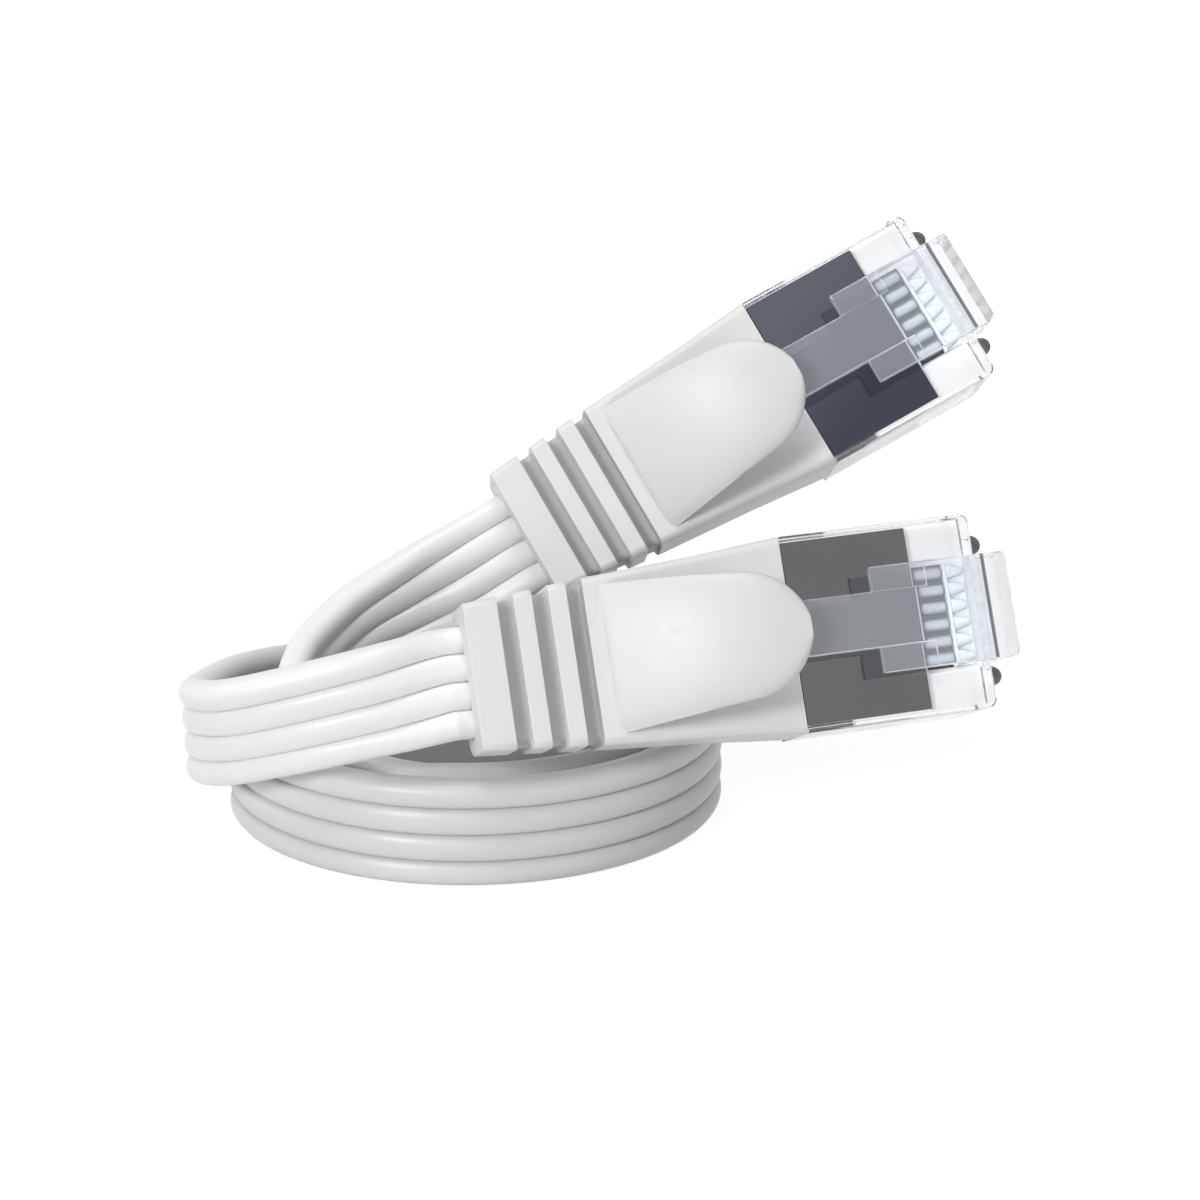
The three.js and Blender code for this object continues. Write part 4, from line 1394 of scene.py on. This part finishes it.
# Places and sizes of the lamps in metres.
LAMPS = (
    {"name": "key_lamp", "place": (-0.25, -0.38, 0.2), "size": 0.12, "watts": 1.12},
    {"name": "top_lamp", "place": (-0.05, -0.05, 0.4), "size": 0.16, "watts": 0.55},
    {"name": "side_lamp", "place": (-0.35, 0.1, 0.25), "size": 0.16, "watts": 0.12},
    {"name": "fill_lamp", "place": (0.3, -0.4, 0.03), "size": 0.2, "watts": 0.4},
)


def add_camera():
    target = Vector(CAMERA_TARGET) * MM + coil_shift()
    level, rise = math.cos(CAMERA_ELEVATION), math.sin(CAMERA_ELEVATION)
    place = target + Vector((0, -level, rise)) * CAMERA_DISTANCE
    deselect_all()
    turn = (math.pi / 2 - CAMERA_ELEVATION, 0, 0)
    bpy.ops.object.camera_add(location=place, rotation=turn)
    camera = bpy.context.object
    camera.name = "photo_camera"
    camera.data.lens = CAMERA_LENS
    camera.data.sensor_width = 36
    camera.data.sensor_fit = "HORIZONTAL"
    camera.data.clip_start = 0.01
    camera.data.clip_end = 20
    bpy.context.scene.camera = camera


def seen_rays(tree):
    """1 for rays that see the background straight, by gloss or through glass."""
    path = tree.nodes.new("ShaderNodeLightPath")
    seen = path.outputs["Is Camera Ray"]
    for ray in ("Is Glossy Ray", "Is Transmission Ray"):
        seen = add_node(tree, "Math", {0: seen, 1: path.outputs[ray]}, operation="MAXIMUM")
    return seen


def floor_material(colour_now):
    """Pale floor that keeps a soft shadow near the part and fades to white, with painted shade within
    the coil.
    """
    material, tree, shader = new_material("pale_floor")
    beyond_coil = outside_coil(tree)
    pale = tint(tree, noise(tree, 40, 2), colour_now, 0.005)
    coil_shade_colour = (*[channel * FLOOR_SHADE_IN_COIL for channel in colour_now], 1)
    feed(tree, shader, {
        "Base Color": mix_colours(tree, beyond_coil, coil_shade_colour, pale),
        "Roughness": 0.9,
        "Specular IOR Level": 0.0,
    })
    away = add_node(tree, "VectorMath", {0: object_place(tree)}, "Value", operation="LENGTH")
    share = remap(tree, away, FLOOR_FADE, (FLOOR_GLOW_NEAR, 1.0), "SMOOTHSTEP")
    for factor in (seen_rays(tree), beyond_coil):
        share = add_node(tree, "Math", {0: share, 1: factor}, operation="MULTIPLY")
    glow = add_node(tree, "Emission", {"Color": WHITE, "Strength": FLOOR_GLOW}, "Emission")
    mixed = {"Fac": share, 1: shader.outputs["BSDF"], 2: glow}
    surface = add_node(tree, "MixShader", mixed, "Shader")
    feed(tree, tree.nodes["Material Output"], {"Surface": surface})
    return material


def add_floor():
    deselect_all()
    bpy.ops.mesh.primitive_plane_add(size=4, location=(0, 0, -0.01 * MM))
    floor = bpy.context.object
    floor.name = "pale_floor"
    floor.data.materials.append(floor_material(bpy.context.scene.cable_finish.floor))
    floor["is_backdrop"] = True


def set_world():
    """White where it is seen, and dimmer where it lights the part."""
    world = bpy.data.worlds.new("studio")
    bpy.context.scene.world = world
    world.use_nodes = True
    tree = world.node_tree
    strength = remap(tree, seen_rays(tree), (0.0, 1.0), (AMBIENT, 1.0))
    feed(tree, tree.nodes["Background"], {"Color": WHITE, "Strength": strength})


def add_soft_lamp(name, place, size, watts):
    """A square soft lamp that points at the part's middle."""
    low, high = cad_box
    middle = (Vector(low) + Vector(high)) / 2
    place = Vector(place)
    deselect_all()
    bpy.ops.object.light_add(type="AREA", location=place)
    lamp = bpy.context.object
    lamp.name = name
    lamp.data.shape = "SQUARE"
    lamp.data.size = size
    lamp.data.energy = watts
    lamp.rotation_euler = (middle - place).to_track_quat("-Z", "Y").to_euler()


class CABLE_OT_stage(bpy.types.Operator):
    """Adds the camera, the pale floor, the world and the soft lamps"""

    bl_idname = "cable.stage"
    bl_label = "Stage"

    def execute(self, context):
        context.scene.view_settings.view_transform = "Standard"
        add_camera()
        add_floor()
        set_world()
        for lamp in LAMPS:
            add_soft_lamp(**lamp)
        return {"FINISHED"}


# ---- panel and running -------------------------------------------------------
class CABLE_PT_sidebar(bpy.types.Panel):
    """Lists the cable's pieces, sizes and colours"""

    bl_label = "Flat patch cable"
    bl_idname = "CABLE_PT_sidebar"
    bl_space_type = "VIEW_3D"
    bl_region_type = "UI"
    bl_category = "Cable"

    def draw(self, context):
        for operator in OPERATORS:
            self.layout.operator(operator.bl_idname)
        for attribute in PROPERTY_GROUPS:
            group = getattr(context.scene, attribute)
            box = self.layout.box()
            for name in group.__annotations__:
                box.prop(group, name)


OPERATORS = (
    CABLE_OT_stage,
    CABLE_OT_cord,
    CABLE_OT_boots,
    CABLE_OT_tongues,
    CABLE_OT_housings,
    CABLE_OT_combs,
    CABLE_OT_latches,
    CABLE_OT_shields,
    CABLE_OT_inner_pieces,
)
PROPERTY_GROUPS = {
    "cable_plug": PlugSizes,
    "cable_latch": LatchSizes,
    "cable_boot": BootSizes,
    "cable_cord": CordSizes,
    "cable_finish": Finishes,
}


def register():
    for group in PROPERTY_GROUPS.values():
        bpy.utils.register_class(group)
    for attribute, group in PROPERTY_GROUPS.items():
        setattr(bpy.types.Scene, attribute, PointerProperty(type=group))
    for operator in OPERATORS:
        bpy.utils.register_class(operator)
    bpy.utils.register_class(CABLE_PT_sidebar)


def unregister():
    bpy.utils.unregister_class(CABLE_PT_sidebar)
    for operator in reversed(OPERATORS):
        bpy.utils.unregister_class(operator)
    for attribute, group in PROPERTY_GROUPS.items():
        delattr(bpy.types.Scene, attribute)
        bpy.utils.unregister_class(group)


def corners(box):
    return [[float(value) for value in corner] for corner in box]


def main():
    register()
    bpy.ops.cable.stage()
    bpy.ops.cable.cord()
    bpy.ops.cable.boots()
    bpy.ops.cable.tongues()
    bpy.ops.cable.housings()
    bpy.ops.cable.combs()
    bpy.ops.cable.latches()
    bpy.ops.cable.shields()
    bpy.ops.cable.inner_pieces()
    sizes = {"cad": corners(cad_box), "visual": corners(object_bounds())}


if __name__ == "__main__":
    main()
